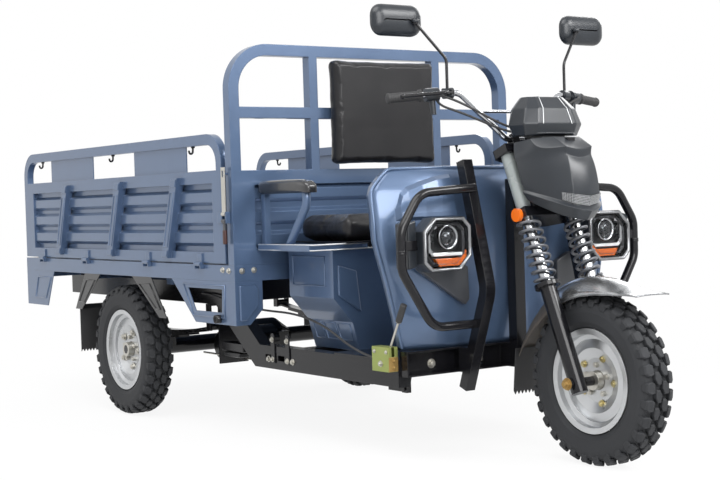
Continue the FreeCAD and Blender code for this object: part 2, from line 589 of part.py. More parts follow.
def leaf_springs():
    # Leaves bowed to one arc, stacked on the axle seats, the main leaf ending in two eyes
    seat = d.axle_height + d.axle_tube + d.clamp_thick + d.leaf_gap
    bow = (d.leaf_half * d.leaf_half + d.leaf_rise * d.leaf_rise) / (d.leaf_rise * 2)
    leaves = []
    for i in range(int(d.leaf_count.number)):
        reach = d.leaf_half - d.leaf_step * (d.leaf_count - 1 - i)
        inner = bow.number - i * d.leaf_thick.number
        angle = math.degrees(math.asin(reach.number / bow.number))
        ring = Part.makeCylinder(inner, d.leaf_wide.number).cut(
            Part.makeCylinder(inner - d.leaf_thick.number, d.leaf_wide.number))
        wedge = Part.makeCylinder(inner, d.leaf_wide.number, FreeCAD.Vector(), FreeCAD.Vector(0, 0, 1), angle * 2)
        wedge.rotate(FreeCAD.Vector(), FreeCAD.Vector(0, 0, 1), -90 - angle)
        leaves.append(ring.common(wedge))
    pack = leaves[0].multiFuse(leaves[1:]).removeSplitter()
    pack.rotate(FreeCAD.Vector(), FreeCAD.Vector(1, 0, 0), 90)
    pack.translate(vector(0, d.leaf_wide / 2, seat + bow))
    for way in (-1, 1):
        eye = Part.makeCylinder(d.eye_radius.number, d.leaf_wide.number,
                                vector(way * eye_x(), -d.leaf_wide / 2, eye_z()), FreeCAD.Vector(0, 1, 0))
        pack = pack.fuse(eye)
    for way in (-1, 1):
        hole = Part.makeCylinder((d.eye_pin + d.eye_gap).number, d.leaf_wide.number,
                                 vector(way * eye_x(), -d.leaf_wide / 2, eye_z()), FreeCAD.Vector(0, 1, 0))
        pack = pack.cut(hole)
    right = feature("right_leaf_spring", pack)
    bind(right, ".Placement.Base.y", -d.spring_side)
    keep(pair("leaf_springs", right), "leaf_springs")


def eye_x():
    return d.leaf_half + d.eye_out


def eye_z():
    seat = d.axle_height + d.axle_tube + d.clamp_thick + d.leaf_gap
    return seat + d.leaf_thick * d.leaf_count + d.leaf_rise - d.leaf_thick + d.eye_lift


# Chassis

def chassis_frame():
    low_top = d.low_rail_base + d.rail_tall
    high_top = d.high_rail_base + d.rail_tall
    side_view = [
        (d.rail_rear, d.high_rail_base), (d.kick_rear, d.high_rail_base), (d.kick_front, d.low_rail_base),
        (d.rail_front, d.low_rail_base), (d.rail_front, low_top), (d.kick_front + d.kick_shift, low_top),
        (d.kick_rear + d.kick_shift, high_top), (d.rail_rear, high_top),
    ]
    rail = slab("right_rail", "XZ_Plane", side_view, d.rail_wide, 0, -d.rail_side, 0)
    slots = []
    for i in range(2):
        x = d.kick_front + d.slot_first + i * d.slot_pitch
        mid = d.low_rail_base + d.rail_tall / 2
        slots.append(box(f"rail_slot_{i}", (x, -d.rail_side - d.rail_wide, mid - d.slot_tall / 2),
                         (x + d.slot_long, -d.rail_side + d.rail_wide, mid + d.slot_tall / 2)))
    right = cut("right_rail_slotted", rail, slots)
    parts = [right, mirrored("left_rail", right)]
    inner = d.rail_side - d.rail_wide / 2
    stations = [(d.rail_rear + d.cross_inset, d.high_rail_base), (d.kick_rear - d.cross_behind, d.high_rail_base),
                (d.barrel_rear + d.cross_ahead, d.low_rail_base), (d.barrel_front - d.cross_inset, d.low_rail_base),
                (d.pedal_x - d.bracket_reach, d.low_rail_base)]
    for i, (x, base) in enumerate(stations):
        parts.append(box(f"cross_member_{i}", (x, -inner, base), (x + d.cross_long, inner, base + d.rail_tall)))
    beam_top = d.nose_beam_base + d.nose_beam_tall
    beam = box("nose_beam", (d.rail_front, -d.nose_beam_half, d.nose_beam_base),
               (d.rail_front + d.nose_beam_deep, d.nose_beam_half, beam_top))
    wall = d.channel_wall
    hollow = box("nose_hollow", (d.rail_front + wall, -d.nose_beam_half + wall, d.nose_beam_base + wall),
                 (d.rail_front + d.nose_beam_deep + wall, d.nose_beam_half - wall, beam_top - wall))
    parts.append(cut("nose_channel", beam, [hollow]))
    half = d.mast_size / 2
    parts.append(box("mast", (d.mast_x - half, -half, d.nose_beam_base), (d.mast_x + half, half, d.mast_top)))
    parts.append(box("mast_foot", (d.rail_front, -half, d.nose_beam_base), (d.mast_x, half, beam_top)))
    head_mid = (d.head_low + d.head_high) / 2
    head_x = d.wheelbase - d.steer_behind * cosine(d.rake) - head_mid * sine(d.rake)
    head_z = d.axle_height - d.steer_behind * sine(d.rake) + head_mid * cosine(d.rake)
    parts.append(box("gusset", (d.mast_x, -d.gusset_thick / 2, head_z - d.gusset_tall / 2),
                     (head_x, d.gusset_thick / 2, head_z + d.gusset_tall / 2)))
    head = on_fork(rod_up("head_tube", d.head_radius, d.head_low, d.head_high), -d.steer_behind, 0, d.head_low)
    parts.append(head)
    for way in (-1, 1):
        for end in (-1, 1):
            x = end * eye_x()
            y = way * d.spring_side
            for face in (-1, 1):
                gap = y + face * (d.leaf_wide / 2 + d.slide_gap + d.hanger_thick / 2)
                parts.append(box(f"hanger_{way}_{end}_{face}".replace("-", "n"),
                                 (x - d.eye_radius, gap - d.hanger_thick / 2, eye_z() - d.eye_radius),
                                 (x + d.eye_radius, gap + d.hanger_thick / 2, d.high_rail_base)))
            parts.append(rod(f"eye_bolt_{way}_{end}".replace("-", "n"), d.eye_pin,
                             d.leaf_wide + d.slide_gap * 2 + d.hanger_thick * 2, "Y", x, y, eye_z()))
            parts.append(box(f"hanger_top_{way}_{end}".replace("-", "n"),
                             (x - d.eye_radius, y - d.leaf_wide / 2 - d.slide_gap - d.hanger_thick, d.high_rail_base - d.hanger_thick),
                             (x + d.eye_radius, y + d.leaf_wide / 2 + d.slide_gap + d.hanger_thick, d.high_rail_base)))
    y = -d.pedal_y + d.pedal_thick / 2 + d.slide_gap
    parts.append(box("pedal_bracket", (d.pedal_x - d.bracket_reach, y, d.pedal_z - d.pedal_pin * 2),
                     (d.pedal_x + d.pedal_pin * 2, y + d.bracket_thick, low_top)))
    parts.append(rod("pedal_pivot", d.pedal_pin, d.pedal_thick * 2 + d.bracket_thick, "Y", d.pedal_x,
                     -d.pedal_y + d.bracket_thick / 2, d.pedal_z))
    guide = box("rod_guide_plate", (d.rod_guide, -d.rail_side, rod_z() - d.rod_eye),
                (d.rod_guide + d.guide_thick, rod_y() + d.rod_eye, d.high_rail_base + d.rail_tall / 2))
    parts.append(guide)
    stem_hole = on_fork(rod_up("head_bore", d.stem_radius + d.running_gap, d.head_low, d.head_high),
                        -d.steer_behind, 0, d.head_low)
    rod_hole = rod("guide_hole", d.rod_radius + d.guide_gap, d.guide_thick * 3, "X",
                   d.rod_guide + d.guide_thick / 2, rod_y(), rod_z())
    keep(cut("chassis_frame", welded("frame_weld", parts), [stem_hole, rod_hole]), "chassis_frame")


def rod_y():
    return -d.pedal_y - d.pedal_thick / 2 - d.slide_gap * 2 - d.rod_radius


def rod_z():
    return d.pedal_z + d.rod_above


def rod_up(name, radius, low, high):
    item = doc.addObject("Part::Cylinder", name)
    bind(item, "Radius", radius)
    bind(item, "Height", high - low)
    return item


def on_fork(item, ahead, y, along):
    # Place a piece in the raked fork's own axes: ahead of the legs, to the side and along from the axle
    place(item, d.wheelbase + ahead * cosine(d.rake) - along * sine(d.rake), y,
          d.axle_height + ahead * sine(d.rake) + along * cosine(d.rake))
    return turn(item, (0, -1, 0), d.rake)


# Front fork

def yoke(name, low, tall):
    reach = d.leg_side + d.slider_radius + d.yoke_grip / 3
    front = d.cover_radius + d.yoke_grip
    back = d.steer_behind + d.head_radius + d.yoke_grip / 2
    corners = [
        (front, -reach), (front, reach), (-front, reach, d.yoke_grip), (-back, d.steer_behind, d.yoke_grip),
        (-back, -d.steer_behind, d.yoke_grip), (-front, -reach, d.yoke_grip),
    ]
    return on_fork(slab(name, "XY_Plane", corners, tall), 0, 0, low + tall / 2)


def leg(name, radius, low, high):
    return on_fork(rod_up(name, radius, low, high), 0, -d.leg_side, low)


def fork():
    top = d.yoke_high + d.yoke_high_tall
    stem = on_fork(rod_up("stem", d.stem_radius, d.yoke_low, top), -d.steer_behind, 0, d.yoke_low)
    stay_x = d.wheelbase + d.cover_radius - top * sine(d.rake)
    stay = box("cowl_stay", (stay_x - d.cowl_stay, -d.cowl_stay, d.cowl_top - d.cowl_wall - d.cowl_stay),
               (d.cowl_brow - d.cowl_stay, d.cowl_stay, d.cowl_top - d.cowl_wall))
    solid = joined("yokes_and_stem", [yoke("low_yoke", d.yoke_low, d.yoke_low_tall),
                                      yoke("high_yoke", d.yoke_high, d.yoke_high_tall), stem, stay])
    holes = pair("stanchion_holes", leg("stanchion_hole", d.stanchion_radius + d.running_gap, d.yoke_low, top))
    yokes = cut("yokes", solid, [holes])
    keep(group("fork_yokes", [yokes, bar_clamps()]), "fork_yokes")
    keep(pair("fork_stanchions", leg("stanchion", d.stanchion_radius, d.stanchion_foot, top)), "fork_stanchions")
    low = d.yoke_low + d.yoke_low_tall
    cover = cut("cover", leg("cover_tube", d.cover_radius, low, d.yoke_high),
                [leg("cover_bore", d.stanchion_radius + d.running_gap, low, d.yoke_high)])
    keep(pair("fork_covers", cover), "fork_covers")
    axle_hole = rod("axle_hole", d.front_axle_radius + d.running_gap, d.slider_radius * 3, "Y", d.wheelbase,
                    -d.leg_side, d.axle_height)
    tube = joined("slider_blank", [leg("slider_tube", d.slider_radius, d.slider_foot, d.slider_top),
                                   leg("spring_collar", d.collar_radius, d.slider_top - d.collar_tall, d.slider_top)])
    bore = leg("slider_bore", d.stanchion_radius + d.running_gap, d.stanchion_foot - d.fork_travel, d.slider_top)
    slider = cut("slider", tube, [bore, axle_hole])
    springs = feature("right_fork_spring", coil())
    on_fork(springs, 0, 0, 0)
    keep(pair("fork_springs", springs), "fork_springs")
    inner = d.leg_side - d.slider_radius
    outer = d.leg_side + d.slider_radius
    head = outer + d.axle_nut_thick
    nose = d.disc_set + d.rim_wall + d.hub_nose + d.side_play
    corners = [
        (-head, 0), (-head, d.axle_nut), (-outer, d.axle_nut), (-outer, d.front_axle_radius),
        (-inner, d.front_axle_radius), (-inner, d.axle_shoulder), (-nose, d.axle_shoulder),
        (-nose, d.front_axle_radius), (d.front_hub_half + d.side_play, d.front_axle_radius),
        (d.front_hub_half + d.side_play, d.axle_shoulder), (inner, d.axle_shoulder),
        (inner, d.front_axle_radius), (outer, d.front_axle_radius), (outer, d.axle_nut), (head, d.axle_nut), (head, 0),
    ]
    axle = turned("front_axle", corners, d.wheelbase, 0, d.axle_height)
    keep(group("fork_sliders", [pair("slider_pair", slider), axle]), "fork_sliders")
    marker = on_fork(rod("marker_cap", d.marker_radius, d.marker_thick, "Y"), 0,
                     -d.leg_side - d.slider_radius - d.yoke_grip / 3 - d.marker_thick, d.yoke_low + d.yoke_low_tall / 2)
    marker.setExpression(".Placement.Rotation.Angle", None)
    marker.Placement.Rotation = FreeCAD.Rotation(FreeCAD.Vector(1, 0, 0), -90)
    keep(pair("side_markers", marker), "side_markers")


def coil():
    # A square-wire coil of straight steps, so that it stays light
    low = d.slider_top + d.spring_gap + d.spring_half
    high = d.yoke_low - d.spring_gap - d.spring_half
    steps = int(d.spring_turns.number * d.coil_steps.number)
    points = []
    for i in range(steps + 1):
        angle = 2 * math.pi * i / d.coil_steps.number
        points.append(FreeCAD.Vector(d.spring_mean.number * math.cos(angle),
                                     d.spring_mean.number * math.sin(angle) - d.leg_side.number,
                                     low.number + (high - low).number * i / steps))
    path = Part.makePolygon(points)
    half = d.spring_half.number
    start = points[0]
    ring = Part.makePolygon([start + FreeCAD.Vector(a * half, 0, b * half)
                             for a, b in ((-1, -1), (1, -1), (1, 1), (-1, 1), (-1, -1))])
    return path.makePipeShell([ring], True, True, 1)


def fender():
    def route(scale):
        return [(d.fender_rear_x * scale, d.fender_rear_z * scale),
                (d.fender_crest_x * scale, d.fender_crest_z * scale, d.fender_radius * scale),
                (d.fender_tip_x * scale, d.fender_tip_z * scale)]
    parts = [on_fork(bent_tube("fender_band", "XZ_Plane", route(size_of(1)), (d.fender_wall / 2, d.fender_half)), 0, 0, 0)]
    scale = (d.fender_radius - d.fender_skirt / 2) / d.fender_radius
    for way in (-1, 1):
        skirt = bent_tube(f"fender_skirt_{way + 1}", "XZ_Plane", route(scale), (d.fender_skirt / 2, d.fender_wall / 2))
        parts.append(on_fork(skirt, 0, way * (d.fender_half - d.fender_wall / 2), 0))
        tab = doc.addObject("Part::Box", f"fender_tab_{way + 1}")
        bind(tab, "Length", d.fender_tab * 2)
        bind(tab, "Width", d.leg_side - d.slider_radius - d.fender_half + d.fender_wall)
        bind(tab, "Height", d.fender_tab_high - d.fender_tab_low)
        y = d.fender_half - d.fender_wall
        parts.append(on_fork(tab, -d.fender_tab, y if way > 0 else -d.leg_side + d.slider_radius, d.fender_tab_low))
    keep(joined("front_fender", parts), "front_fender")
    teeth = toothed(d.fender_flap_half, d.fender_flap_long)
    flap = slab("fender_flap", "YZ_Plane", teeth, d.flap_thick)
    x = d.wheelbase + d.fender_rear_x * cosine(d.rake) - d.fender_rear_z * sine(d.rake)
    z = d.axle_height + d.fender_rear_x * sine(d.rake) + d.fender_rear_z * cosine(d.rake)
    place(flap, x, 0, z - d.flap_thick / 2)
    keep(turn(flap, (0, 1, 0), d.fender_flap_lean), "fender_flap")


def toothed(half, long):
    corners = [(half, 0), (-half, 0), (-half, -long)]
    count = int(d.flap_teeth.number)
    for i in range(count):
        corners.append((half * (2 * i + 1) / count - half, -long + d.tooth_tall))
        corners.append((half * (2 * i + 2) / count - half, -long))
    return corners


# Handlebar and cowl

def bar_points():
    along = d.yoke_high + d.yoke_high_tall + d.bar_up
    ahead = -d.steer_behind + d.bar_ahead
    x = d.wheelbase + ahead * cosine(d.rake) - along * sine(d.rake)
    z = d.axle_height + ahead * sine(d.rake) + along * cosine(d.rake)
    end = vector(d.grip_end_x, -d.grip_end_y, d.grip_end_z)
    bend = vector(d.bar_bend_x, -d.bar_bend_y, d.bar_bend_z)
    return end, bend, vector(x, -d.bar_foot_y, z)


def on_bar(start, long, radius):
    # A ring round the right arm of the bar, measured from its end
    end, bend, _ = bar_points()
    way = (bend - end).normalize()
    at = end + way * size_of(start).number
    outside = Part.makeCylinder(radius.number, long.number, at, way)
    return outside.cut(Part.makeCylinder((d.bar_radius + d.running_gap).number, long.number, at, way))


def bar_frame(along):
    # A point on the right arm of the bar, with the ways along it, ahead of it and up from it
    end, bend, _ = bar_points()
    way = (bend - end).normalize()
    ahead = way.cross(FreeCAD.Vector(0, 0, 1)).normalize()
    return end + way * size_of(along).number, way, ahead, ahead.cross(way)


def handlebar():
    right = list(bar_points())
    left = [FreeCAD.Vector(p.x, -p.y, p.z) for p in reversed(right)]
    tube = space_tube(right + left, d.bar_radius, d.bar_bend_round)
    bend, foot = right[1], right[2]
    share = (bend.z - d.brace_z.number) / (bend.z - foot.z)
    start = bend + (foot - bend) * share
    brace = straight_rod(start, FreeCAD.Vector(start.x, -start.y, start.z), d.brace_radius)
    keep(feature("handlebar", tube.fuse(brace)), "handlebar")
    grip = feature("throttle_grip", on_bar(0, d.grip_long, d.grip_radius))
    keep(grip, "throttle_grip")
    keep(mirrored("left_grip", grip), "left_grip")
    perch()


def bar_clamps():
    foot = bar_points()[2]
    half = d.clamp_block / 2
    block = doc.addObject("Part::Box", "clamp_block")
    for prop in ("Length", "Width"):
        bind(block, prop, d.clamp_block)
    bind(block, "Height", d.bar_up + half)
    on_fork(block, -d.steer_behind + d.bar_ahead - half, -d.bar_foot_y / 2 - half, d.yoke_high + d.yoke_high_tall)
    bore = feature("clamp_bore", straight_rod(FreeCAD.Vector(foot.x, -foot.y * 2, foot.z),
                                              FreeCAD.Vector(foot.x, foot.y * 2, foot.z), d.bar_radius + d.running_gap))
    return pair("bar_clamps", cut("bar_clamp", block, [bore]))


def switch_pair():
    housing = on_bar(d.switch_start, d.switch_long, d.switch_radius)
    at, way, ahead, up = bar_frame(d.switch_start + d.switch_long / 2)
    drop = at - up * (d.bar_radius + d.pilot_sink).number
    pilot = Part.makeCylinder(d.pilot_radius.number, d.pilot_long.number, drop, -up)
    housing = housing.fuse(pilot)
    for start, way_out in lead_starts():
        socket = (d.cable_radius + d.running_gap).number
        housing = housing.cut(Part.makeCylinder(socket, d.switch_radius.number, start, way_out))
    return pair("switch_pair", feature("switch_housing", housing))


def lead_starts():
    # Where the two leads sit in a switch housing: one leaves ahead, one leaves below near its inner end
    at, way, ahead, up = bar_frame(d.switch_start + d.switch_long / 2)
    low = bar_frame(d.switch_start + d.switch_long - d.cable_radius - d.lead_wall / 2)[0]
    deep = (d.bar_radius + d.lead_wall).number
    return (at + ahead * deep, ahead), (low - up * deep, -up)


def perch():
    # Clamp with a forked arm ahead of the bar: the brake lever turns on its pin, the mirror stands on top
    clamp = on_bar(d.lever_perch, d.perch_long, d.perch_radius)
    at, way, ahead, up = bar_frame(d.lever_perch + d.perch_long / 2)
    pivot = at + ahead * d.perch_arm.number
    for side in (-1, 1):
        face = side * (d.lever_radius + d.slide_gap).number
        lug = Part.makeCylinder(d.perch_eye.number, d.perch_plate.number, pivot + up * face, up * side)
        arm = Part.makeBox(d.perch_arm.number, d.perch_eye.number * 2, d.perch_plate.number)
        arm.Placement = FreeCAD.Placement(FreeCAD.Vector(), FreeCAD.Rotation(ahead, way, up, "ZXY"))
        corner = at - way * d.perch_eye.number + up * (face if side > 0 else face - d.perch_plate.number)
        arm.translate(corner)
        arm = arm.cut(Part.makeCylinder((d.bar_radius + d.running_gap).number, d.perch_long.number * 2,
                                        at - way * d.perch_long.number, way))
        clamp = clamp.fuse(lug).fuse(arm)
    reach = (d.lever_radius + d.slide_gap + d.perch_plate).number
    pin = Part.makeCylinder(d.perch_pin.number, reach * 2, pivot - up * reach, up)
    left = on_bar(d.lever_perch, d.perch_long, d.perch_radius).mirror(FreeCAD.Vector(), FreeCAD.Vector(0, 1, 0))
    keep(group("bar_controls", [switch_pair(), feature("lever_perch", clamp.fuse(pin)), feature("left_perch", left)]),
         "bar_controls")
    inner = pivot + ahead * (d.lever_ahead - d.perch_arm).number - way * d.perch_long.number
    outer = inner - way * d.lever_reach.number
    blade = space_tube([pivot, inner, outer], d.lever_radius, d.lever_radius * 2)
    eye = Part.makeCylinder(d.perch_eye.number, d.lever_radius.number * 2, pivot - up * d.lever_radius.number, up)
    ball = Part.makeSphere(d.lever_ball.number, outer)
    hole = Part.makeCylinder((d.perch_pin + d.running_gap).number, reach * 2, pivot - up * reach, up)
    keep(feature("brake_lever", blade.fuse(eye).fuse(ball).cut(hole)), "brake_lever")
    foot = at + up * (d.perch_radius - d.slide_gap).number
    top = vector(d.mirror_top_x + d.mirror_thick / 2 + d.mirror_ball + d.mirror_gap, -d.mirror_top_y, d.mirror_top_z)
    stem = space_tube([foot, foot + FreeCAD.Vector(0, 0, d.mirror_rise.number), top], d.mirror_stem, d.mirror_bend)
    stem = stem.fuse(Part.makeSphere(d.mirror_ball.number, top))
    seat = Part.makeCylinder((d.perch_radius + d.running_gap).number, d.perch_long.number * 3,
                             at - way * d.perch_long.number * 1.5, way)
    keep(pair("mirror_stems", feature("mirror_stem", stem.cut(seat))), "mirror_stems")
    wide = d.mirror_half_wide
    tall = d.mirror_half_tall
    corners = [(-wide, -tall, d.mirror_round), (wide, -tall, d.mirror_round), (wide, tall, d.mirror_round),
               (-wide, tall, d.mirror_round)]
    plate = slab("mirror_shell", "YZ_Plane", corners, d.mirror_thick, d.mirror_top_x, -d.mirror_y, d.mirror_z)
    cup = feature("mirror_cup", Part.makeCylinder(d.cup_radius.number, d.cup_tall.number, top + vector(0, 0, d.slide_gap)))
    hollow = feature("mirror_socket", Part.makeSphere((d.mirror_ball + d.running_gap).number, top))
    head = cut("right_mirror_head", joined("mirror_blank", [plate, cup]), [hollow])
    keep(head, "right_mirror_head")
    keep(mirrored("left_mirror_head", head), "left_mirror_head")


def cowl_form(name, wall):
    base = d.cowl_chin + wall
    side_view = [
        (d.cowl_rear - wall * 4, d.cowl_top - wall), (d.cowl_brow, d.cowl_top - wall, d.cowl_round),
        (d.cowl_nose - wall - d.cowl_stay, d.cowl_top - wall - d.cowl_round * 1.5),
        (d.cowl_nose - wall, base + d.cowl_round * 2), (d.cowl_nose - wall - d.cowl_round, base),
        (d.cowl_chin_x - wall, base), (d.cowl_low_x - wall * 4, d.cowl_base + wall),
    ]
    sides = slab(name + "_side", "XZ_Plane", side_view, d.cowl_half * 2)
    half = d.cowl_half - wall
    nose = d.cowl_nose_half - wall
    plan = [
        (d.cowl_rear - d.cowl_half, -half), (d.cowl_brow - d.cowl_round, -half, d.cowl_round),
        (d.cowl_nose, -nose, d.cowl_round), (d.cowl_nose, nose, d.cowl_round),
        (d.cowl_brow - d.cowl_round, half, d.cowl_round), (d.cowl_rear - d.cowl_half, half),
    ]
    top = slab(name + "_plan", "XY_Plane", plan, d.cowl_half * 4, 0, 0, (d.cowl_top + d.cowl_chin) / 2)
    item = doc.addObject("Part::Common", name)
    item.Base = sides
    item.Tool = top
    return item


def cowl():
    inside = cowl_form("cowl_inside", d.cowl_wall)
    keep(cut("nose_cowl", cowl_form("cowl_outside", size_of(0)), [inside]), "nose_cowl")
    side_view = [
        (d.pod_rear, d.pod_base), (d.pod_front, d.pod_base), (d.pod_front, d.pod_base + d.pod_stay * 3, d.pod_stay),
        (d.pod_x + d.pod_stay, d.pod_top, d.pod_stay), (d.pod_rear + d.pod_stay, d.pod_top, d.pod_stay),
        (d.pod_rear, d.pod_top - d.pod_stay * 2),
    ]
    shell = slab("pod_shell", "XZ_Plane", side_view, d.pod_half * 2)
    stay = box("pod_foot", (d.pod_x - d.pod_stay, -d.pod_half / 4, d.cowl_top), (d.pod_x + d.pod_stay * 2, d.pod_half / 4, d.pod_base))
    keep(joined("instrument_pod", [shell, stay]), "instrument_pod")


def bar_cables():
    # Leads from the switch housings to the rear face of the instrument pod
    leads = []
    for i, (begin, way_out) in enumerate(lead_starts()):
        out = begin + way_out * d.cable_out.number
        low = out + bar_frame(0)[1] * d.cable_run.number - vector(0, 0, d.cable_drop)
        height = d.pod_base + d.cable_out - d.cable_pitch * i
        near = vector(d.pod_rear - d.cable_near, -d.cable_in, height)
        end = vector(d.pod_rear, -d.cable_in, height)
        leads.append(feature(f"bar_cable_{i}", space_tube([begin, out, low, near, end], d.cable_radius, d.lead_bend)))
    keep(pair("bar_cables", group("right_cables", leads)), "bar_cables")


# Cab

def bull_bar():
    posts = []
    route = [(d.post_top_x, d.post_top_z), (d.post_bend_x, d.post_bend_z, d.post_bend), (d.post_foot_x, d.post_foot_z)]
    posts.append(bent_tube("bar_post", "XZ_Plane", route, (d.post_size / 2, d.post_size / 2), 0, -d.post_side, 0))
    start = -d.post_side
    route = [
        (start, d.loop_top), (-d.loop_out + d.loop_bend, d.loop_top - d.loop_drop, d.loop_bend),
        (-d.loop_out, d.loop_shoulder, d.loop_bend), (-d.loop_out, d.loop_waist, d.loop_bend),
        (-d.loop_out + d.loop_tuck, d.loop_foot, d.loop_bend), (start, d.loop_foot),
    ]
    posts.append(bent_tube("bar_loop", "YZ_Plane", route, d.loop_radius, d.loop_x, 0, 0))
    inner = d.lamp_y - d.lamp_half_wide
    outer = d.lamp_y + d.lamp_half_wide
    for name, low, high in (("lamp_stay_in", -inner, start), ("lamp_stay_out", -d.loop_out, -outer)):
        posts.append(box(name, (d.loop_x - d.loop_radius / 2, low, d.lamp_z - d.loop_radius),
                         (d.loop_x + d.loop_radius / 2, high, d.lamp_z + d.loop_radius)))
    base = d.nose_beam_base
    posts.append(box("post_foot", (d.rail_front + d.nose_beam_deep, -d.post_side - d.post_size / 2, base),
                     (d.post_bend_x - d.post_bend, -d.post_side + d.post_size / 2, base + d.nose_beam_tall)))
    keep(pair("bull_bar", joined("right_bull_bar", posts)), "bull_bar")


def octagon(half_wide, half_tall, clip):
    return [
        (-half_wide + clip, -half_tall), (half_wide - clip, -half_tall), (half_wide, -half_tall + clip),
        (half_wide, half_tall - clip), (half_wide - clip, half_tall), (-half_wide + clip, half_tall),
        (-half_wide, half_tall - clip), (-half_wide, -half_tall + clip),
    ]


def headlamps():
    shell = octagon(d.lamp_half_wide, d.lamp_half_tall, d.lamp_cut)
    body = slab("lamp_shell", "YZ_Plane", shell, d.lamp_deep, d.lamp_x - d.lamp_deep / 2, -d.lamp_y, d.lamp_z)
    keep(pair("headlamps", body), "headlamps")
    face = octagon(d.lamp_half_wide - d.lens_inset, d.lamp_half_tall - d.lens_inset, d.lamp_cut)
    lens = slab("lamp_lens", "YZ_Plane", face, d.lens_thick, d.lamp_x + d.lens_thick / 2, -d.lamp_y, d.lamp_z)
    keep(pair("headlamp_lenses", lens), "headlamp_lenses")


def shield_outline(wall):
    foot = d.nose_beam_base + d.nose_beam_tall
    half = d.shield_half - wall
    right = [
        (-d.shield_low_half + wall, foot), (-half, d.shield_waist_z, d.shield_round),
        (-half, d.shield_corner_z, d.shield_round), (-d.shield_top_half + wall, d.shield_top - wall, d.shield_round),
    ]
    return right + [(-corner[0], *corner[1:]) for corner in reversed(right)]


def shield_form(name, wall):
    # The front outline, as deep as the plan that sweeps back from a flat middle
    deep = d.shield_sweep + d.shield_lip
    front = d.shield_front - wall
    half = d.shield_half - wall
    plan = [
        (front - deep, -half), (front - d.shield_sweep, -half), (front, -d.shield_flat, d.shield_bend),
        (front, d.shield_flat, d.shield_bend), (front - d.shield_sweep, half), (front - deep, half),
    ]
    item = doc.addObject("Part::Common", name)
    item.Base = slab(name + "_outline", "YZ_Plane", shield_outline(wall), deep * 2, d.shield_front - deep, 0, 0)
    item.Tool = slab(name + "_plan", "XY_Plane", plan, d.shield_top * 2)
    return item


def front_shield():
    outside = shield_form("shield_block", size_of(0))
    keep(cut("front_shield", outside, [shield_form("shield_hollow", d.shield_wall)]), "front_shield")


def floor_pan():
    top = d.low_rail_base + d.rail_tall
    outer = d.rail_side + d.rail_wide / 2
    pan = box("floor_sheet", (d.barrel_front, -outer, top), (d.rail_front, outer, top + d.floor_thick))
    slot = box("pedal_slot", (d.pedal_x - d.pedal_pin, -d.pedal_y - d.pedal_thick * 2, top - d.floor_thick),
               (d.pedal_x + d.pedal_slot, -d.pedal_y + d.pedal_thick * 2, top + d.floor_thick * 2))
    keep(cut("floor_pan", pan, [slot]), "floor_pan")


# Seat

def barrel_outline(wall):
    foot = d.low_rail_base + d.rail_tall
    right = [
        (-d.barrel_foot_half + wall, foot), (-d.barrel_knee_half + wall, d.barrel_knee),
        (-d.barrel_half + wall, d.barrel_waist), (-d.barrel_half + wall, d.barrel_top),
    ]
    return right + [(-corner[0], corner[1]) for corner in reversed(right)]


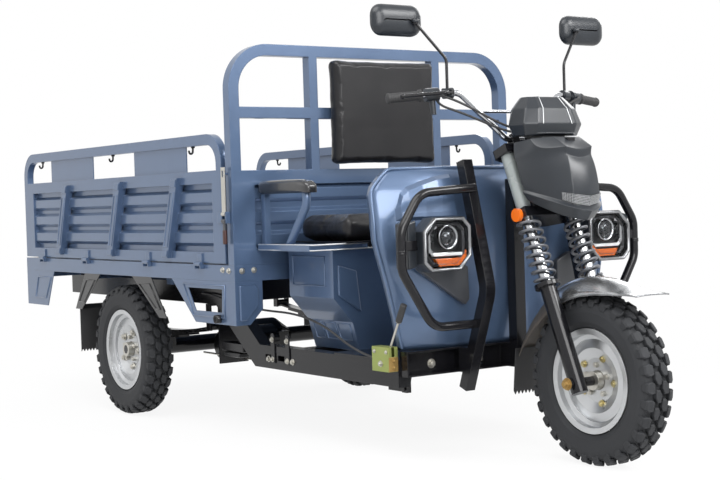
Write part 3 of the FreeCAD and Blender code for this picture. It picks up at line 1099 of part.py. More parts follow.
def seat():
    middle = (d.barrel_rear + d.barrel_front) / 2
    deep = d.barrel_front - d.barrel_rear
    shell = slab("barrel_block", "YZ_Plane", barrel_outline(size_of(0)), deep, middle, 0, 0)
    hollow = slab("barrel_hollow", "YZ_Plane", barrel_outline(d.barrel_wall), deep - d.barrel_wall * 2, middle, 0, 0)
    keep(cut("seat_barrel", shell, [hollow]), "seat_barrel")
    top = d.barrel_top + d.platform_thick
    deck = box("platform_deck", (d.platform_rear, -d.platform_half, d.barrel_top), (d.platform_front, d.platform_half, top))
    hatch = box("platform_hatch", (d.hatch_rear, -d.hatch_half, d.barrel_top), (d.hatch_front, d.hatch_half, top))
    parts = [cut("platform_plate", deck, [hatch])]
    pin_x = d.platform_front + d.seat_pin_ahead
    pin_z = top + d.seat_lift - d.seat_knuckle
    base = [box("base_sheet", (d.seat_rear, -d.seat_half, top + d.seat_lift),
                (d.seat_front, d.seat_half, top + d.seat_lift + d.seat_base_thick))]
    bores = []
    for way in (-1, 1):
        y = way * d.seat_hinge_y
        half = d.seat_hinge_long / 2
        for face in (-1, 1):
            at = y + face * (half + d.slide_gap + d.hinge_lug / 2)
            parts.append(box(f"seat_lug_{way + 1}_{face + 1}", (d.platform_front, at - d.hinge_lug / 2, pin_z - d.seat_knuckle),
                             (pin_x + d.seat_pin, at + d.hinge_lug / 2, pin_z + d.seat_pin)))
        long = d.seat_hinge_long + d.slide_gap * 2 + d.hinge_lug * 2
        parts.append(rod(f"seat_pin_{way + 1}", d.seat_pin, long, "Y", pin_x, y, pin_z))
        base.append(rod(f"seat_sleeve_{way + 1}", d.seat_knuckle, d.seat_hinge_long, "Y", pin_x, y, pin_z))
        base.append(box(f"seat_tab_{way + 1}", (pin_x - d.seat_knuckle / 2, y - half, pin_z),
                        (pin_x + d.seat_knuckle, y + half, top + d.seat_lift + d.seat_base_thick)))
        bores.append(rod(f"seat_bore_{way + 1}", d.seat_pin + d.running_gap, d.seat_hinge_long, "Y", pin_x, y, pin_z))
    keep(joined("seat_platform", parts), "seat_platform")
    keep(cut("seat_base", joined("seat_base_blank", base), bores), "seat_base")
    low = top + d.seat_lift + d.seat_base_thick
    soft = d.cushion_round
    corners = [(d.seat_rear, low), (d.seat_front, low), (d.seat_front, d.seat_top, soft), (d.seat_rear, d.seat_top, soft)]
    keep(slab("seat_cushion", "XZ_Plane", corners, d.seat_half * 2), "seat_cushion")
    route = [(d.arm_foot_x, top), (d.arm_bow_x, d.arm_bow_z, d.arm_bend), (d.arm_top_x, d.arm_top)]
    tube = bent_tube("arm_bow", "XZ_Plane", route, d.arm_tube, 0, -d.arm_y, 0)
    half = d.arm_post / 2
    post = box("arm_rear_post", (d.arm_rear - half, -d.arm_y - half, top), (d.arm_rear + half, -d.arm_y + half, d.arm_top))
    trim = box("arm_trim", (d.seat_rear, -d.platform_half * 1.2, d.arm_top), (d.pad_front * 1.2, 0, d.arm_top * 1.2))
    heel = box("arm_heel", (d.seat_rear, -d.platform_half * 1.2, d.barrel_waist), (d.pad_front * 1.2, 0, top))
    keep(pair("armrest_tubes", group("right_arm", [cut("arm_front_tube", tube, [trim, heel]), post])), "armrest_tubes")
    high = d.arm_top + d.pad_tall
    corners = [(d.platform_rear, d.arm_top), (d.pad_front, d.arm_top, soft / 2), (d.pad_front, high, soft / 2),
               (d.platform_rear, high, soft / 2)]
    keep(pair("armrest_pads", slab("arm_pad", "XZ_Plane", corners, d.pad_half * 2, 0, -d.arm_y, 0)), "armrest_pads")
    corners = [(d.bed_front, d.back_base), (d.bed_front + d.back_thick, d.back_base, soft),
               (d.bed_front + d.back_thick, d.back_top, soft), (d.bed_front, d.back_top)]
    keep(slab("backrest_pad", "XZ_Plane", corners, d.back_half * 2), "backrest_pad")


# Cargo bed

def bed_floor():
    deck_base = d.deck_top - d.deck_thick
    inner = d.bed_half - d.sill_wide
    sill = box("right_sill", (d.bed_rear, -d.bed_half, d.sill_base), (d.bed_front, -inner, deck_base))
    parts = [sill, mirrored("left_sill", sill)]
    rail_top = d.high_rail_base + d.rail_tall
    for name, start, end in (("rear_sill", d.bed_rear, d.bed_rear + d.sill_wide), ("front_sill", d.bed_front - d.sill_wide, d.bed_front)):
        parts.append(box(name, (start, -inner, d.sill_base), (end, inner, deck_base)))
    half = d.bearer_long / 2
    for i, x in enumerate((-d.bearer_outer, -d.bearer_inner, d.bearer_inner)):
        parts.append(box(f"bearer_{i}", (x - half, -inner, rail_top), (x + half, inner, deck_base)))
    parts.append(box("bearer_front", (d.bearer_outer - half, -inner, d.sill_base), (d.bearer_outer + half, inner, deck_base)))
    side = d.bed_half - d.board_thick - d.board_gap
    rear = d.bed_rear + d.board_thick + d.board_gap
    parts.append(box("deck", (rear, -side, deck_base), (d.bed_front - d.hoop_deep - d.board_gap, side, d.deck_top)))
    keep(joined("bed_floor", parts), "bed_floor")


def ribbed(low, high, pitch, count, out):
    # Section of a pressed sheet: flat with evenly spaced trapezoid ribs standing out by one rib depth
    middle = (low + high) / 2
    outside = [(0, low)]
    for i in range(count):
        z = middle + pitch * (i - (count - 1) / 2)
        for shift, deep in ((-d.rib_face / 2 - d.rib_slope, 0), (-d.rib_face / 2, 1), (d.rib_face / 2, 1),
                            (d.rib_face / 2 + d.rib_slope, 0)):
            outside.append((d.rib_deep * (out * deep), z + shift))
    outside.append((0, high))
    inside = [(y - d.rib_sheet * out, z) for y, z in reversed(outside)]
    return [(y if deep_side(y) else 0, z) for y, z in outside] + inside


def deep_side(y):
    return isinstance(y, Size) and y.number != 0


def headboard():
    middle = d.bed_front - d.hoop_deep / 2
    edge = d.bed_half - d.hoop_wide / 2
    top = d.hoop_top - d.hoop_wide / 2
    foot = d.deck_top - d.deck_thick
    route = [(-edge, foot), (-edge, top, d.hoop_round), (edge, top, d.hoop_round), (edge, foot)]
    parts = [bent_tube("hoop", "YZ_Plane", route, (d.hoop_wide / 2, d.hoop_deep / 2), middle, 0, 0)]
    rear = d.bed_front - d.hoop_deep
    inner = d.bed_half - d.hoop_wide
    parts.append(box("mid_rail", (rear, -inner, d.mid_rail_base), (d.bed_front, inner, d.mid_rail_base + d.mid_rail_tall)))
    frame = box("panel_block", (rear, -inner, foot), (d.bed_front, inner, d.head_panel_top))
    window = box("panel_window", (rear, -inner + d.head_frame, d.deck_top + d.head_frame),
                 (d.bed_front, inner - d.head_frame, d.head_panel_top - d.head_frame))
    parts.append(cut("panel_frame", frame, [window]))
    section = ribbed(d.deck_top + d.head_frame, d.head_panel_top - d.head_frame, d.head_rib_pitch, 3, 1)
    parts.append(slab("head_sheet", "XZ_Plane", section, (inner - d.head_frame) * 2, middle, 0, 0))
    for way in (-1, 1):
        y = way * d.upright_y
        parts.append(box(f"upright_{way + 1}", (rear, y - d.upright_wide / 2, d.head_panel_top), (d.bed_front, y + d.upright_wide / 2, top)))
        stud = rod(f"latch_stud_{way + 1}", d.stud_half, d.stud_out * 2, "Y", d.latch_x, way * d.bed_half, stud_z())
        parts.append(stud)
    keep(joined("headboard", parts), "headboard")


def stud_z():
    return d.latch_pivot_z + d.link_rise + d.link_long - d.link_slot * 2


def knuckles(name, x, y, z, axis):
    # Fixed half of a hinge: two eyes and a pin; and the sleeve that turns on it with its bore
    half = d.knuckle_long / 2
    fixed = []
    for face in (-1, 1):
        shift = face * (half + d.hinge_side_gap + d.hinge_lug / 2)
        at = (x + shift, y, z) if axis == "X" else (x, y + shift, z)
        fixed.append(rod(f"{name}_eye_{face + 1}", d.knuckle, d.hinge_lug, axis, *at))
        if axis == "X":
            low, high = (at[0] - d.hinge_lug / 2, y - d.hinge_pin, z - d.hinge_seat), (at[0] + d.hinge_lug / 2, y + d.hinge_out, z)
        else:
            low, high = (x - d.hinge_pin, at[1] - d.hinge_lug / 2, z - d.hinge_seat), (x + d.hinge_out, at[1] + d.hinge_lug / 2, z)
        fixed.append(box(f"{name}_lug_{face + 1}", low, high))
    long = d.knuckle_long + (d.hinge_side_gap + d.hinge_lug) * 2
    fixed.append(rod(f"{name}_pin", d.hinge_pin, long, axis, x, y, z))
    sleeve = rod(f"{name}_sleeve", d.knuckle, d.knuckle_long, axis, x, y, z)
    if axis == "X":
        low, high = (x - half, y, z), (x + half, y + d.hinge_out, z + d.strap_tall)
        low = (x - half, y + d.hinge_out - d.strap_thick, z + d.strap_lift)
    else:
        low, high = (x + d.hinge_out - d.strap_thick, y - half, z + d.strap_lift), (x + d.hinge_out, y + half, z + d.strap_tall)
    strap = box(f"{name}_strap", low, high)
    bore = rod(f"{name}_bore", d.hinge_pin + d.running_gap, d.knuckle_long, axis, x, y, z)
    return joined(name, fixed), [sleeve, strap], bore


def boards():
    fixed, moving, bores = [], [], []
    pivot_z = d.deck_top - d.hinge_drop
    for i, x in enumerate((d.hinge_one, d.hinge_two, d.hinge_three, d.hinge_four)):
        seat_part, turning, bore = knuckles(f"side_hinge_{i}", x, -d.bed_half - d.hinge_out, pivot_z, "X")
        fixed.append(seat_part)
        moving += turning
        bores.append(bore)
    base = d.deck_top + d.board_gap
    y = -d.bed_half + d.board_thick / 2
    outline = [(d.board_rear, base), (d.board_front, base), (d.board_front, d.board_top), (d.board_rear, d.board_top)]
    frame = slab("board_block", "XZ_Plane", outline, d.board_thick, 0, y, 0)
    window = box("board_window", (d.pocket_rear, -d.bed_half, d.pocket_base), (d.pocket_front, -d.bed_half + d.board_thick, d.pocket_top))
    parts = [cut("board_frame", frame, [window])]
    middle = (d.pocket_rear + d.pocket_front) / 2
    section = ribbed(d.pocket_base, d.pocket_top, d.side_rib_pitch, 3, -1)
    parts.append(slab("board_sheet", "YZ_Plane", section, d.pocket_front - d.pocket_rear, middle, -d.bed_half + d.rib_deep + d.sheet_back, 0))
    tube_top = d.rail_top - d.rail_tube_tall / 2
    half = d.rail_tube_tall / 2
    route = [(d.board_rear + half, d.board_top), (d.board_rear + half, tube_top, d.rail_round),
             (d.rail_loop_front - half, tube_top, d.rail_round), (d.rail_loop_front - half, d.board_top)]
    rail_y = -d.bed_half + d.rail_tube_wide / 2
    parts.append(bent_tube("side_rail", "XZ_Plane", route, (half, d.rail_tube_wide / 2), 0, rail_y, 0))
    for i, (start, end) in enumerate(((d.plate_one_rear, d.plate_one_front), (d.plate_two_rear, d.plate_two_front))):
        parts.append(box(f"side_plate_{i}", (start, rail_y - d.plate_thick / 2, d.board_top), (end, rail_y + d.plate_thick / 2, d.rail_top - d.rail_tube_tall)))
    low = d.pocket_base - d.strut_foot
    high = d.pocket_top + d.strut_foot
    for i, x in enumerate((d.strut_one, d.strut_two, d.strut_three)):
        outline = [(x, low), (x + d.strut_wide, low), (x + d.strut_wide + d.strut_lean, high), (x + d.strut_lean, high)]
        strut = slab(f"strut_{i}", "XZ_Plane", outline, d.strut_deep + d.rail_tube_wide / 2, 0, -d.bed_half - d.strut_deep / 2 + d.rail_tube_wide / 4, 0)
        parts.append(strut)
    arm_low = d.latch_pivot_z - d.latch_bracket
    arm_high = d.latch_pivot_z + d.link_rise + d.latch_bracket
    rear = d.latch_x - d.latch_arm
    front = d.latch_x + d.link_wide / 2 + d.slide_gap + d.hinge_lug
    face = -d.bed_half - d.latch_bracket
    parts.append(box("latch_root", (rear - d.latch_arm / 2, face, arm_low), (d.board_front, -d.bed_half, arm_high)))
    parts.append(box("latch_plate", (d.board_front, face, arm_low), (front, -d.bed_half - d.slide_gap, arm_high)))
    pin_y = face - d.latch_bracket
    for edge in (-1, 1):
        at = d.latch_x + edge * (d.link_wide / 2 + d.slide_gap + d.hinge_lug / 2)
        parts.append(box(f"latch_lug_{edge + 1}", (at - d.hinge_lug / 2, pin_y - d.latch_pin, arm_low), (at + d.hinge_lug / 2, face, arm_high)))
    long = d.link_wide + (d.slide_gap + d.hinge_lug) * 2
    for i, z in enumerate((d.latch_pivot_z, d.latch_pivot_z + d.link_rise)):
        parts.append(rod(f"latch_pin_{i}", d.latch_pin, long, "X", d.latch_x, pin_y, z))
    board = cut("right_board", joined("right_board_blank", parts + moving), bores)
    keep(board, "right_board")
    keep(mirrored("left_board", board), "left_board")
    tail_fixed = tailgate()
    side = joined("side_hinges", fixed) if len(fixed) == 1 else group("side_hinges", fixed)
    keep(group("board_hinges", [side, mirrored("left_side_hinges", side), *tail_fixed]), "board_hinges")
    latches(pin_y)


def tailgate():
    fixed, moving, bores = [], [], []
    for way in (-1, 1):
        seat_part, turning, bore = knuckles(f"tail_hinge_{way + 1}", d.bed_rear - d.hinge_out, way * d.tail_hinge, d.deck_top - d.hinge_drop, "Y")
        fixed.append(seat_part)
        moving += turning
        bores.append(bore)
    base = d.deck_top + d.board_gap
    half = d.bed_half - d.board_thick - d.tail_gap
    front = d.bed_rear + d.board_thick
    frame = box("tail_block", (d.bed_rear, -half, base), (front, half, d.board_top))
    window = box("tail_window", (d.bed_rear, -d.tail_pocket_half, d.pocket_base), (front, d.tail_pocket_half, d.pocket_top))
    section = ribbed(d.pocket_base, d.pocket_top, d.side_rib_pitch, 3, -1)
    sheet_part = slab("tail_sheet", "XZ_Plane", section, d.tail_pocket_half * 2, d.bed_rear + d.rib_deep + d.sheet_back, 0, 0)
    blank = joined("tail_blank", [cut("tail_frame", frame, [window]), sheet_part] + moving)
    keep(cut("tailgate", blank, bores), "tailgate")
    return fixed


def latches(pin_y):
    eye = d.latch_pin * 2
    wide = d.link_wide
    lever_z = d.latch_pivot_z
    bar = box("lever_bar", (d.latch_x - d.lever_wide / 2, pin_y - d.lever_thick / 2, lever_z - d.lever_long),
              (d.latch_x + d.lever_wide / 2, pin_y + d.lever_thick / 2, lever_z))
    blank = joined("lever_blank", [bar, rod("lever_eye", eye, wide, "X", d.latch_x, pin_y, lever_z)])
    lever = cut("right_latch_lever", blank, [rod("lever_bore", d.latch_pin + d.running_gap, wide, "X", d.latch_x, pin_y, lever_z)])
    keep(lever, "right_latch_lever")
    keep(mirrored("left_latch_lever", lever), "left_latch_lever")
    link_z = lever_z + d.link_rise
    strap = box("link_bar", (d.latch_x - wide / 2, pin_y - d.link_thick / 2, link_z), (d.latch_x + wide / 2, pin_y + d.link_thick / 2, link_z + d.link_long))
    blank = joined("link_blank", [strap, rod("link_eye", eye, wide, "X", d.latch_x, pin_y, link_z)])
    slot = box("link_slot_cut", (d.latch_x - wide / 2 + d.link_bar, pin_y - d.link_thick, stud_z() - d.link_slot),
               (d.latch_x + wide / 2 - d.link_bar, pin_y + d.link_thick, stud_z() + d.link_slot))
    link = cut("right_latch_link", blank, [rod("link_bore", d.latch_pin + d.running_gap, wide, "X", d.latch_x, pin_y, link_z), slot])
    keep(link, "right_latch_link")
    keep(mirrored("left_latch_link", link), "left_latch_link")


def bed_skirts():
    y = -d.bed_half + d.skirt_thick / 2
    top = d.sill_base
    base = d.skirt_base
    shapes = {
        "skirt_rear": [(d.bed_rear, base), (d.skirt_rear_foot, base), (d.skirt_rear_top, top), (d.bed_rear, top)],
        "skirt_arch_rear": [(d.arch_one_foot_rear, base), (d.arch_one_foot_front, base), (d.arch_one_top_front, top), (d.arch_one_top_rear, top)],
        "skirt_arch_front": [(d.arch_two_foot_rear, base), (d.arch_two_foot_front, base), (d.arch_two_top_front, top), (d.arch_two_top_rear, top)],
        "skirt_front": [(d.skirt_front_foot, base), (d.bed_front, base), (d.bed_front, top), (d.skirt_front_top, top)],
    }
    panels = {name: slab(name, "XZ_Plane", outline, d.skirt_thick, 0, y, 0) for name, outline in shapes.items()}
    hole = slab("skirt_window", "XZ_Plane", [(d.window_foot_rear, d.window_base), (d.window_foot_front, d.window_base), (d.window_top_front, d.window_top), (d.window_top_rear, d.window_top)], d.skirt_thick * 2, 0, y, 0)
    face = [(-d.bed_half, base), (-d.bed_half + d.skirt_face_half - d.skirt_face_cut, base), (-d.bed_half + d.skirt_face_half, base + d.skirt_face_cut), (-d.bed_half + d.skirt_face_half, top), (-d.bed_half, top)]
    returned = slab("skirt_face", "YZ_Plane", face, d.skirt_thick, d.bed_front - d.skirt_thick / 2, 0, 0)
    front = joined("skirt_front_box", [cut("skirt_front_cut", panels["skirt_front"], [hole]), returned])
    flap_y = -d.bed_half + d.skirt_thick + d.flap_wide / 2
    bar = box("flap_bar", (d.arch_flap_x - d.flap_bar, -d.bed_half + d.skirt_thick / 2, d.arch_flap_top), (d.arch_flap_x, -d.bed_half + d.skirt_thick + d.flap_wide, d.arch_flap_top + d.flap_bar))
    arch = joined("skirt_arch_box", [panels["skirt_arch_rear"], bar])
    keep(pair("bed_skirts", group("right_skirts", [panels["skirt_rear"], arch, panels["skirt_arch_front"], front])), "bed_skirts")
    flap = slab("mud_flap", "YZ_Plane", toothed(d.flap_wide / 2, d.flap_tall), d.flap_thick, d.arch_flap_x - d.flap_bar / 2, flap_y, d.arch_flap_top)
    keep(pair("rear_mud_flaps", flap), "rear_mud_flaps")


# Controls

def controls():
    outer = d.rail_side + d.rail_wide / 2
    low = (d.box_rear, -outer - d.box_wide, d.box_base)
    high = (d.box_rear + d.box_long, -outer, d.box_base + d.box_tall)
    wall = d.box_wall
    block = box("box_block", low, high)
    inside = box("box_inside", (low[0] + wall, low[1] + wall, low[2] - wall), (high[0] - wall, high[1] - wall, high[2] - wall))
    y = -outer - d.box_wide / 2
    slot = box("lever_slot", (d.shift_pivot_x + d.shift_slot, y - d.shift_slot / 2, d.shift_pivot_z + d.shift_slot * 2), (high[0] + wall, y + d.shift_slot / 2, high[2] + wall))
    shell = cut("box_shell", block, [inside, slot])
    pin = rod("shift_pin", d.shift_pin, d.box_wide - wall, "Y", d.shift_pivot_x, y, d.shift_pivot_z)
    keep(joined("shift_box", [shell, pin]), "shift_box")
    foot = vector(d.shift_pivot_x, y, d.shift_pivot_z)
    top = vector(d.shift_top_x, y, d.shift_top_z)
    way = (top - foot).normalize()
    lever = straight_rod(foot, top, d.shift_rod)
    grip = straight_rod(top - way * d.knob_long.number, top, d.knob_radius)
    eye = Part.makeCylinder(d.knob_radius.number, d.shift_slot.number, foot - FreeCAD.Vector(0, d.shift_slot.number / 2, 0), FreeCAD.Vector(0, 1, 0))
    bore = Part.makeCylinder((d.shift_pin + d.running_gap).number, d.box_wide.number, foot - FreeCAD.Vector(0, d.box_wide.number / 2, 0), FreeCAD.Vector(0, 1, 0))
    keep(feature("shift_lever", lever.fuse(grip).fuse(eye).cut(bore)), "shift_lever")
    half = d.pedal_pin * 2
    outline = [(-half, -half), (half, -half), (d.pedal_reach + half, d.pedal_rise), (d.pedal_reach - half / 2, d.pedal_rise), (-half, d.rod_above)]
    arm = slab("pedal_arm", "XZ_Plane", outline, d.pedal_thick, d.pedal_x, -d.pedal_y, d.pedal_z)
    pad_x = d.pedal_x + d.pedal_reach
    pad_z = d.pedal_z + d.pedal_rise
    pad = box("pedal_pad", (pad_x - half, -d.pedal_y - d.pedal_wide / 2, pad_z - half / 2), (pad_x + half * 2, -d.pedal_y + d.pedal_wide / 2, pad_z + half / 2))
    eye_wide = (d.rod_radius + d.slide_gap) * 2
    stud_long = eye_wide + d.slide_gap * 2
    stud_y = -d.pedal_y - d.pedal_thick / 2 - stud_long / 2
    pin = rod("rod_pin", d.rod_radius, stud_long, "Y", d.pedal_x, stud_y, rod_z())
    pedal = joined("pedal_blank", [arm, pad, pin])
    keep(cut("brake_pedal", pedal, [rod("pedal_bore", d.pedal_pin + d.running_gap, d.pedal_thick, "Y", d.pedal_x, -d.pedal_y, d.pedal_z)]), "brake_pedal")
    long = d.pedal_x - d.rod_rear - d.rod_sink
    bar = rod("rod_bar", d.rod_radius, long, "X", d.rod_rear + long / 2, rod_y(), rod_z())
    ring = rod("rod_ring", d.rod_eye, eye_wide, "Y", d.pedal_x, rod_y(), rod_z())
    hole = rod("rod_hole", d.rod_radius + d.eye_play, eye_wide * 2, "Y", d.pedal_x, rod_y(), rod_z())
    keep(cut("brake_rod", joined("rod_blank", [bar, ring]), [hole]), "brake_rod")
    points = [vector(d.box_rear, y, d.box_base + d.box_tall / 2), vector(d.box_rear - d.box_long, y, d.box_base + d.box_tall / 2),
              vector(d.barrel_front - d.box_long, y - d.box_wide / 4, d.cable_high), vector(d.kick_front, y, d.cable_high),
              vector(d.kick_rear, y, d.high_rail_base + d.rail_tall / 2),
              vector(d.kick_rear - d.box_long, y, d.high_rail_base + d.rail_tall / 2),
              vector(d.kick_rear - d.box_long, -outer, d.high_rail_base + d.rail_tall / 2)]
    keep(feature("shift_cable", space_tube(points, d.cable_radius, d.cable_bend)), "shift_cable")


wheels()
rear_axle()
leaf_springs()
chassis_frame()
fork()
fender()
handlebar()
cowl()
bar_cables()
bull_bar()
headlamps()
front_shield()
floor_pan()
seat()
bed_floor()
headboard()
boards()
bed_skirts()
controls()

doc.recompute()
for item in doc.Objects:
    if "Invalid" in item.State or "Error" in item.State:
        raise RuntimeError(f"{item.Name} did not compute: {item.State}")
os.makedirs("parts", exist_ok=True)
for item in kept:
    if item.Shape.isNull() or not item.Shape.isValid():
        raise RuntimeError(f"{item.Label} has no valid shape")
    item.Shape.exportStep(os.path.join("parts", item.Label + ".step"))
print(len(kept), "parts written")
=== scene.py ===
import bpy, bmesh, json, math
from mathutils import Matrix, Vector, noise


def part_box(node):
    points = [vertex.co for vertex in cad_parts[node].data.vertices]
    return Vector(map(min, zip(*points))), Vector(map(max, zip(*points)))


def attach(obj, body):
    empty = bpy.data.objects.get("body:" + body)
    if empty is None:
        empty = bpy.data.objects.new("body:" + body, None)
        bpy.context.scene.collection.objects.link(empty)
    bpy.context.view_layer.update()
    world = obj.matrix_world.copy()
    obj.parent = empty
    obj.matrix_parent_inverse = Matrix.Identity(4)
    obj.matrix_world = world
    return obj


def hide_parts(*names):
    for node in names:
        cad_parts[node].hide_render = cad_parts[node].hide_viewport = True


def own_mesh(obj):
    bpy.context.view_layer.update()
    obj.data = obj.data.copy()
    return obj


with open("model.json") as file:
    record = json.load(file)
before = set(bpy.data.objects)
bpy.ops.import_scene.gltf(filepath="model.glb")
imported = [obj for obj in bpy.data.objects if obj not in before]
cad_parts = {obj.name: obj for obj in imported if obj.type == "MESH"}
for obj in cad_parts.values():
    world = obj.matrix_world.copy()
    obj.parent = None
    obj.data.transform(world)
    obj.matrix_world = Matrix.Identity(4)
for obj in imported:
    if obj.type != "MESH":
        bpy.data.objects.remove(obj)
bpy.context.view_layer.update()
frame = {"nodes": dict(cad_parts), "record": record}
nodes = frame["nodes"]
print("frame loaded:", len(nodes), "nodes")

rearAxle = -0.7345  # lengths below are measured from the rear axle
ahead, rightward, upright = (1, 0, 0), (0, -1, 0), (0, 0, 1)


def at(x, y, z):
    return Vector((x + rearAxle, y, z))


def linked(name, data):
    obj = bpy.data.objects.new(name, data)
    bpy.context.scene.collection.objects.link(obj)
    return obj


def addNode(tree, kind, values=None, **fields):
    node = tree.nodes.new(kind)
    for name, value in fields.items():
        setattr(node, name, value)
    for name, value in (values or {}).items():
        node.inputs[name].default_value = value
    return node


def connect(tree, *pairs):
    for source, target in pairs:
        tree.links.new(source, target)


def nodeGroup(name, kind, ins, outs):
    group = bpy.data.node_groups.new(name, kind)
    for way, sockets in (("INPUT", ins), ("OUTPUT", outs)):
        for label, socket in sockets.items():
            group.interface.new_socket(label, in_out=way, socket_type="NodeSocket" + socket)
    return group, group.nodes.new("NodeGroupInput"), group.nodes.new("NodeGroupOutput")


# camera at the photograph's viewpoint

cameraSet = {"place": (5.5252, -3.2004, 0.8709), "yaw": 145.4675, "pitch": -1.5775, "roll": -1.7934,
             "lens": 71.1145, "sensor": 36, "reach": 60}


def makeCamera(s):
    yaw, pitch, roll = (math.radians(s[k]) for k in ("yaw", "pitch", "roll"))
    level = math.cos(pitch)
    look = Vector((level * math.cos(yaw), level * math.sin(yaw), math.sin(pitch)))
    right = look.cross(Vector(upright)).normalized()
    up = right.cross(look)
    across = right * math.cos(roll) + up * math.sin(roll)
    upward = up * math.cos(roll) - right * math.sin(roll)
    data = bpy.data.cameras.new("camera")
    data.lens, data.sensor_width, data.clip_end = s["lens"], s["sensor"], s["reach"]
    cam = linked("camera", data)
    turn = Matrix((across, upward, -look)).transposed().to_4x4()
    cam.matrix_world = Matrix.Translation(at(*s["place"])) @ turn
    bpy.context.scene.camera = cam


makeCamera(cameraSet)
bpy.context.scene.view_settings.view_transform = "Standard"
print("camera set")


# studio: pale floor, white surround, soft lamps

studioSet = {
    "floor": 14.0, "floorTone": 0.86, "floorRough": 0.85, "floorShine": 0.1,
    "paleShadow": 0.90, "shadowSquash": (0.62, 1.0, 1.0), "shadowReach": (0.75, 1.9),
    "horizon": 0.22, "zenith": 0.80, "skyReach": (-0.02, 0.75),
    "lamps": {  # place, aim, size, power
        "keyLamp": ((1.5, -2.5, 5.0), (0.2, 0, 0.5), (4.5, 3.0), 190),
        "fillLamp": ((-3.5, -5.0, 2.6), (-0.6, 0, 0.7), (3.5, 2.5), 18),
        "rimLamp": ((-2.5, 4.5, 3.5), (0, 0, 0.7), (4.0, 2.0), 100),
        "frontLamp": ((6.0, -1.6, 2.8), (1.2, 0, 0.7), (3.5, 2.5), 200),
        "crownLamp": ((4.4, 1.9, 3.4), (1.1, -0.2, 0.8), (2.2, 1.6), 150)},
}


def seenDirectly(tree):
    # camera, mirror and glass rays see plain white
    path = addNode(tree, "ShaderNodeLightPath")
    last = path.outputs["Is Camera Ray"]
    for name in ("Is Glossy Ray", "Is Transmission Ray"):
        top = addNode(tree, "ShaderNodeMath", operation="MAXIMUM")
        connect(tree, (last, top.inputs[0]), (path.outputs[name], top.inputs[1]))
        last = top.outputs[0]
    return last


def softRamp(tree, span, **ends):
    values = {"From Min": span[0], "From Max": span[1]}
    values.update({"To " + word.capitalize(): value for word, value in ends.items()})
    return addNode(tree, "ShaderNodeMapRange", values, interpolation_type="SMOOTHSTEP")


def gradedSky(tree, s):
    # soft light, brighter overhead than at the horizon
    coord = addNode(tree, "ShaderNodeTexCoord")
    split = addNode(tree, "ShaderNodeSeparateXYZ")
    ramp = softRamp(tree, s["skyReach"], min=s["horizon"], max=s["zenith"])
    connect(tree, (coord.outputs["Generated"], split.inputs[0]),
            (split.outputs["Z"], ramp.inputs["Value"]))
    return ramp.outputs["Result"]


def makeSurround(s):
    world = bpy.data.worlds.new("studio")
    bpy.context.scene.world = world
    world.use_nodes = True
    tree = world.node_tree
    tree.nodes.clear()
    out = addNode(tree, "ShaderNodeOutputWorld")
    mix = addNode(tree, "ShaderNodeMixShader")
    soft = addNode(tree, "ShaderNodeBackground", {"Color": (1, 1, 1, 1)})
    white = addNode(tree, "ShaderNodeBackground", {"Color": (1, 1, 1, 1), "Strength": 1.0})
    connect(tree, (gradedSky(tree, s), soft.inputs["Strength"]),
            (seenDirectly(tree), mix.inputs[0]), (soft.outputs[0], mix.inputs[1]),
            (white.outputs[0], mix.inputs[2]), (mix.outputs[0], out.inputs[0]))


def makeFloor(s):
    h, t = s["floor"], s["floorTone"]
    mesh = bpy.data.meshes.new("floor")
    mesh.from_pydata([(-h, -h, 0), (h, -h, 0), (h, h, 0), (-h, h, 0)], [], [(0, 1, 2, 3)])
    floor = linked("floor", mesh)
    mat = bpy.data.materials.new("paleFloor")
    mat.use_nodes = True
    mesh.materials.append(mat)
    tree = mat.node_tree
    shader = tree.nodes["Principled BSDF"]
    shader.inputs["Base Color"].default_value = (t, t, t, 1)
    shader.inputs["Roughness"].default_value = s["floorRough"]
    shader.inputs["Specular IOR Level"].default_value = s["floorShine"]
    # white where the camera looks past the object, while the floor keeps the shadow under it
    geo = addNode(tree, "ShaderNodeNewGeometry")
    squash = addNode(tree, "ShaderNodeVectorMath", {1: s["shadowSquash"]}, operation="MULTIPLY")
    away = addNode(tree, "ShaderNodeVectorMath", operation="LENGTH")
    ramp = softRamp(tree, s["shadowReach"], min=s["paleShadow"])
    both = addNode(tree, "ShaderNodeMath", operation="MULTIPLY")
    glow = addNode(tree, "ShaderNodeEmission", {"Strength": 1.0})
    mix = addNode(tree, "ShaderNodeMixShader")
    connect(tree, (geo.outputs["Position"], squash.inputs[0]), (squash.outputs[0], away.inputs[0]),
            (away.outputs["Value"], ramp.inputs["Value"]), (ramp.outputs["Result"], both.inputs[0]),
            (seenDirectly(tree), both.inputs[1]), (both.outputs[0], mix.inputs[0]),
            (shader.outputs[0], mix.inputs[1]), (glow.outputs[0], mix.inputs[2]),
            (mix.outputs[0], tree.nodes["Material Output"].inputs[0]))


def studioLamp(name, place, aim, size, power):
    data = bpy.data.lights.new(name, "AREA")
    data.shape = "RECTANGLE"
    data.size, data.size_y = size
    data.energy = power
    turn = (Vector(aim) - Vector(place)).to_track_quat("-Z", "Y").to_matrix().to_4x4()
    linked(name, data).matrix_world = Matrix.Translation(place) @ turn


makeSurround(studioSet)
makeFloor(studioSet)
for lampName, lampValues in studioSet["lamps"].items():
    studioLamp(lampName, *lampValues)
print("studio set")


# finishes

reliefSet = {"fineDetail": 3, "slowScale": 9, "slowDetail": 5, "samples": 4, "distance": 0.002}


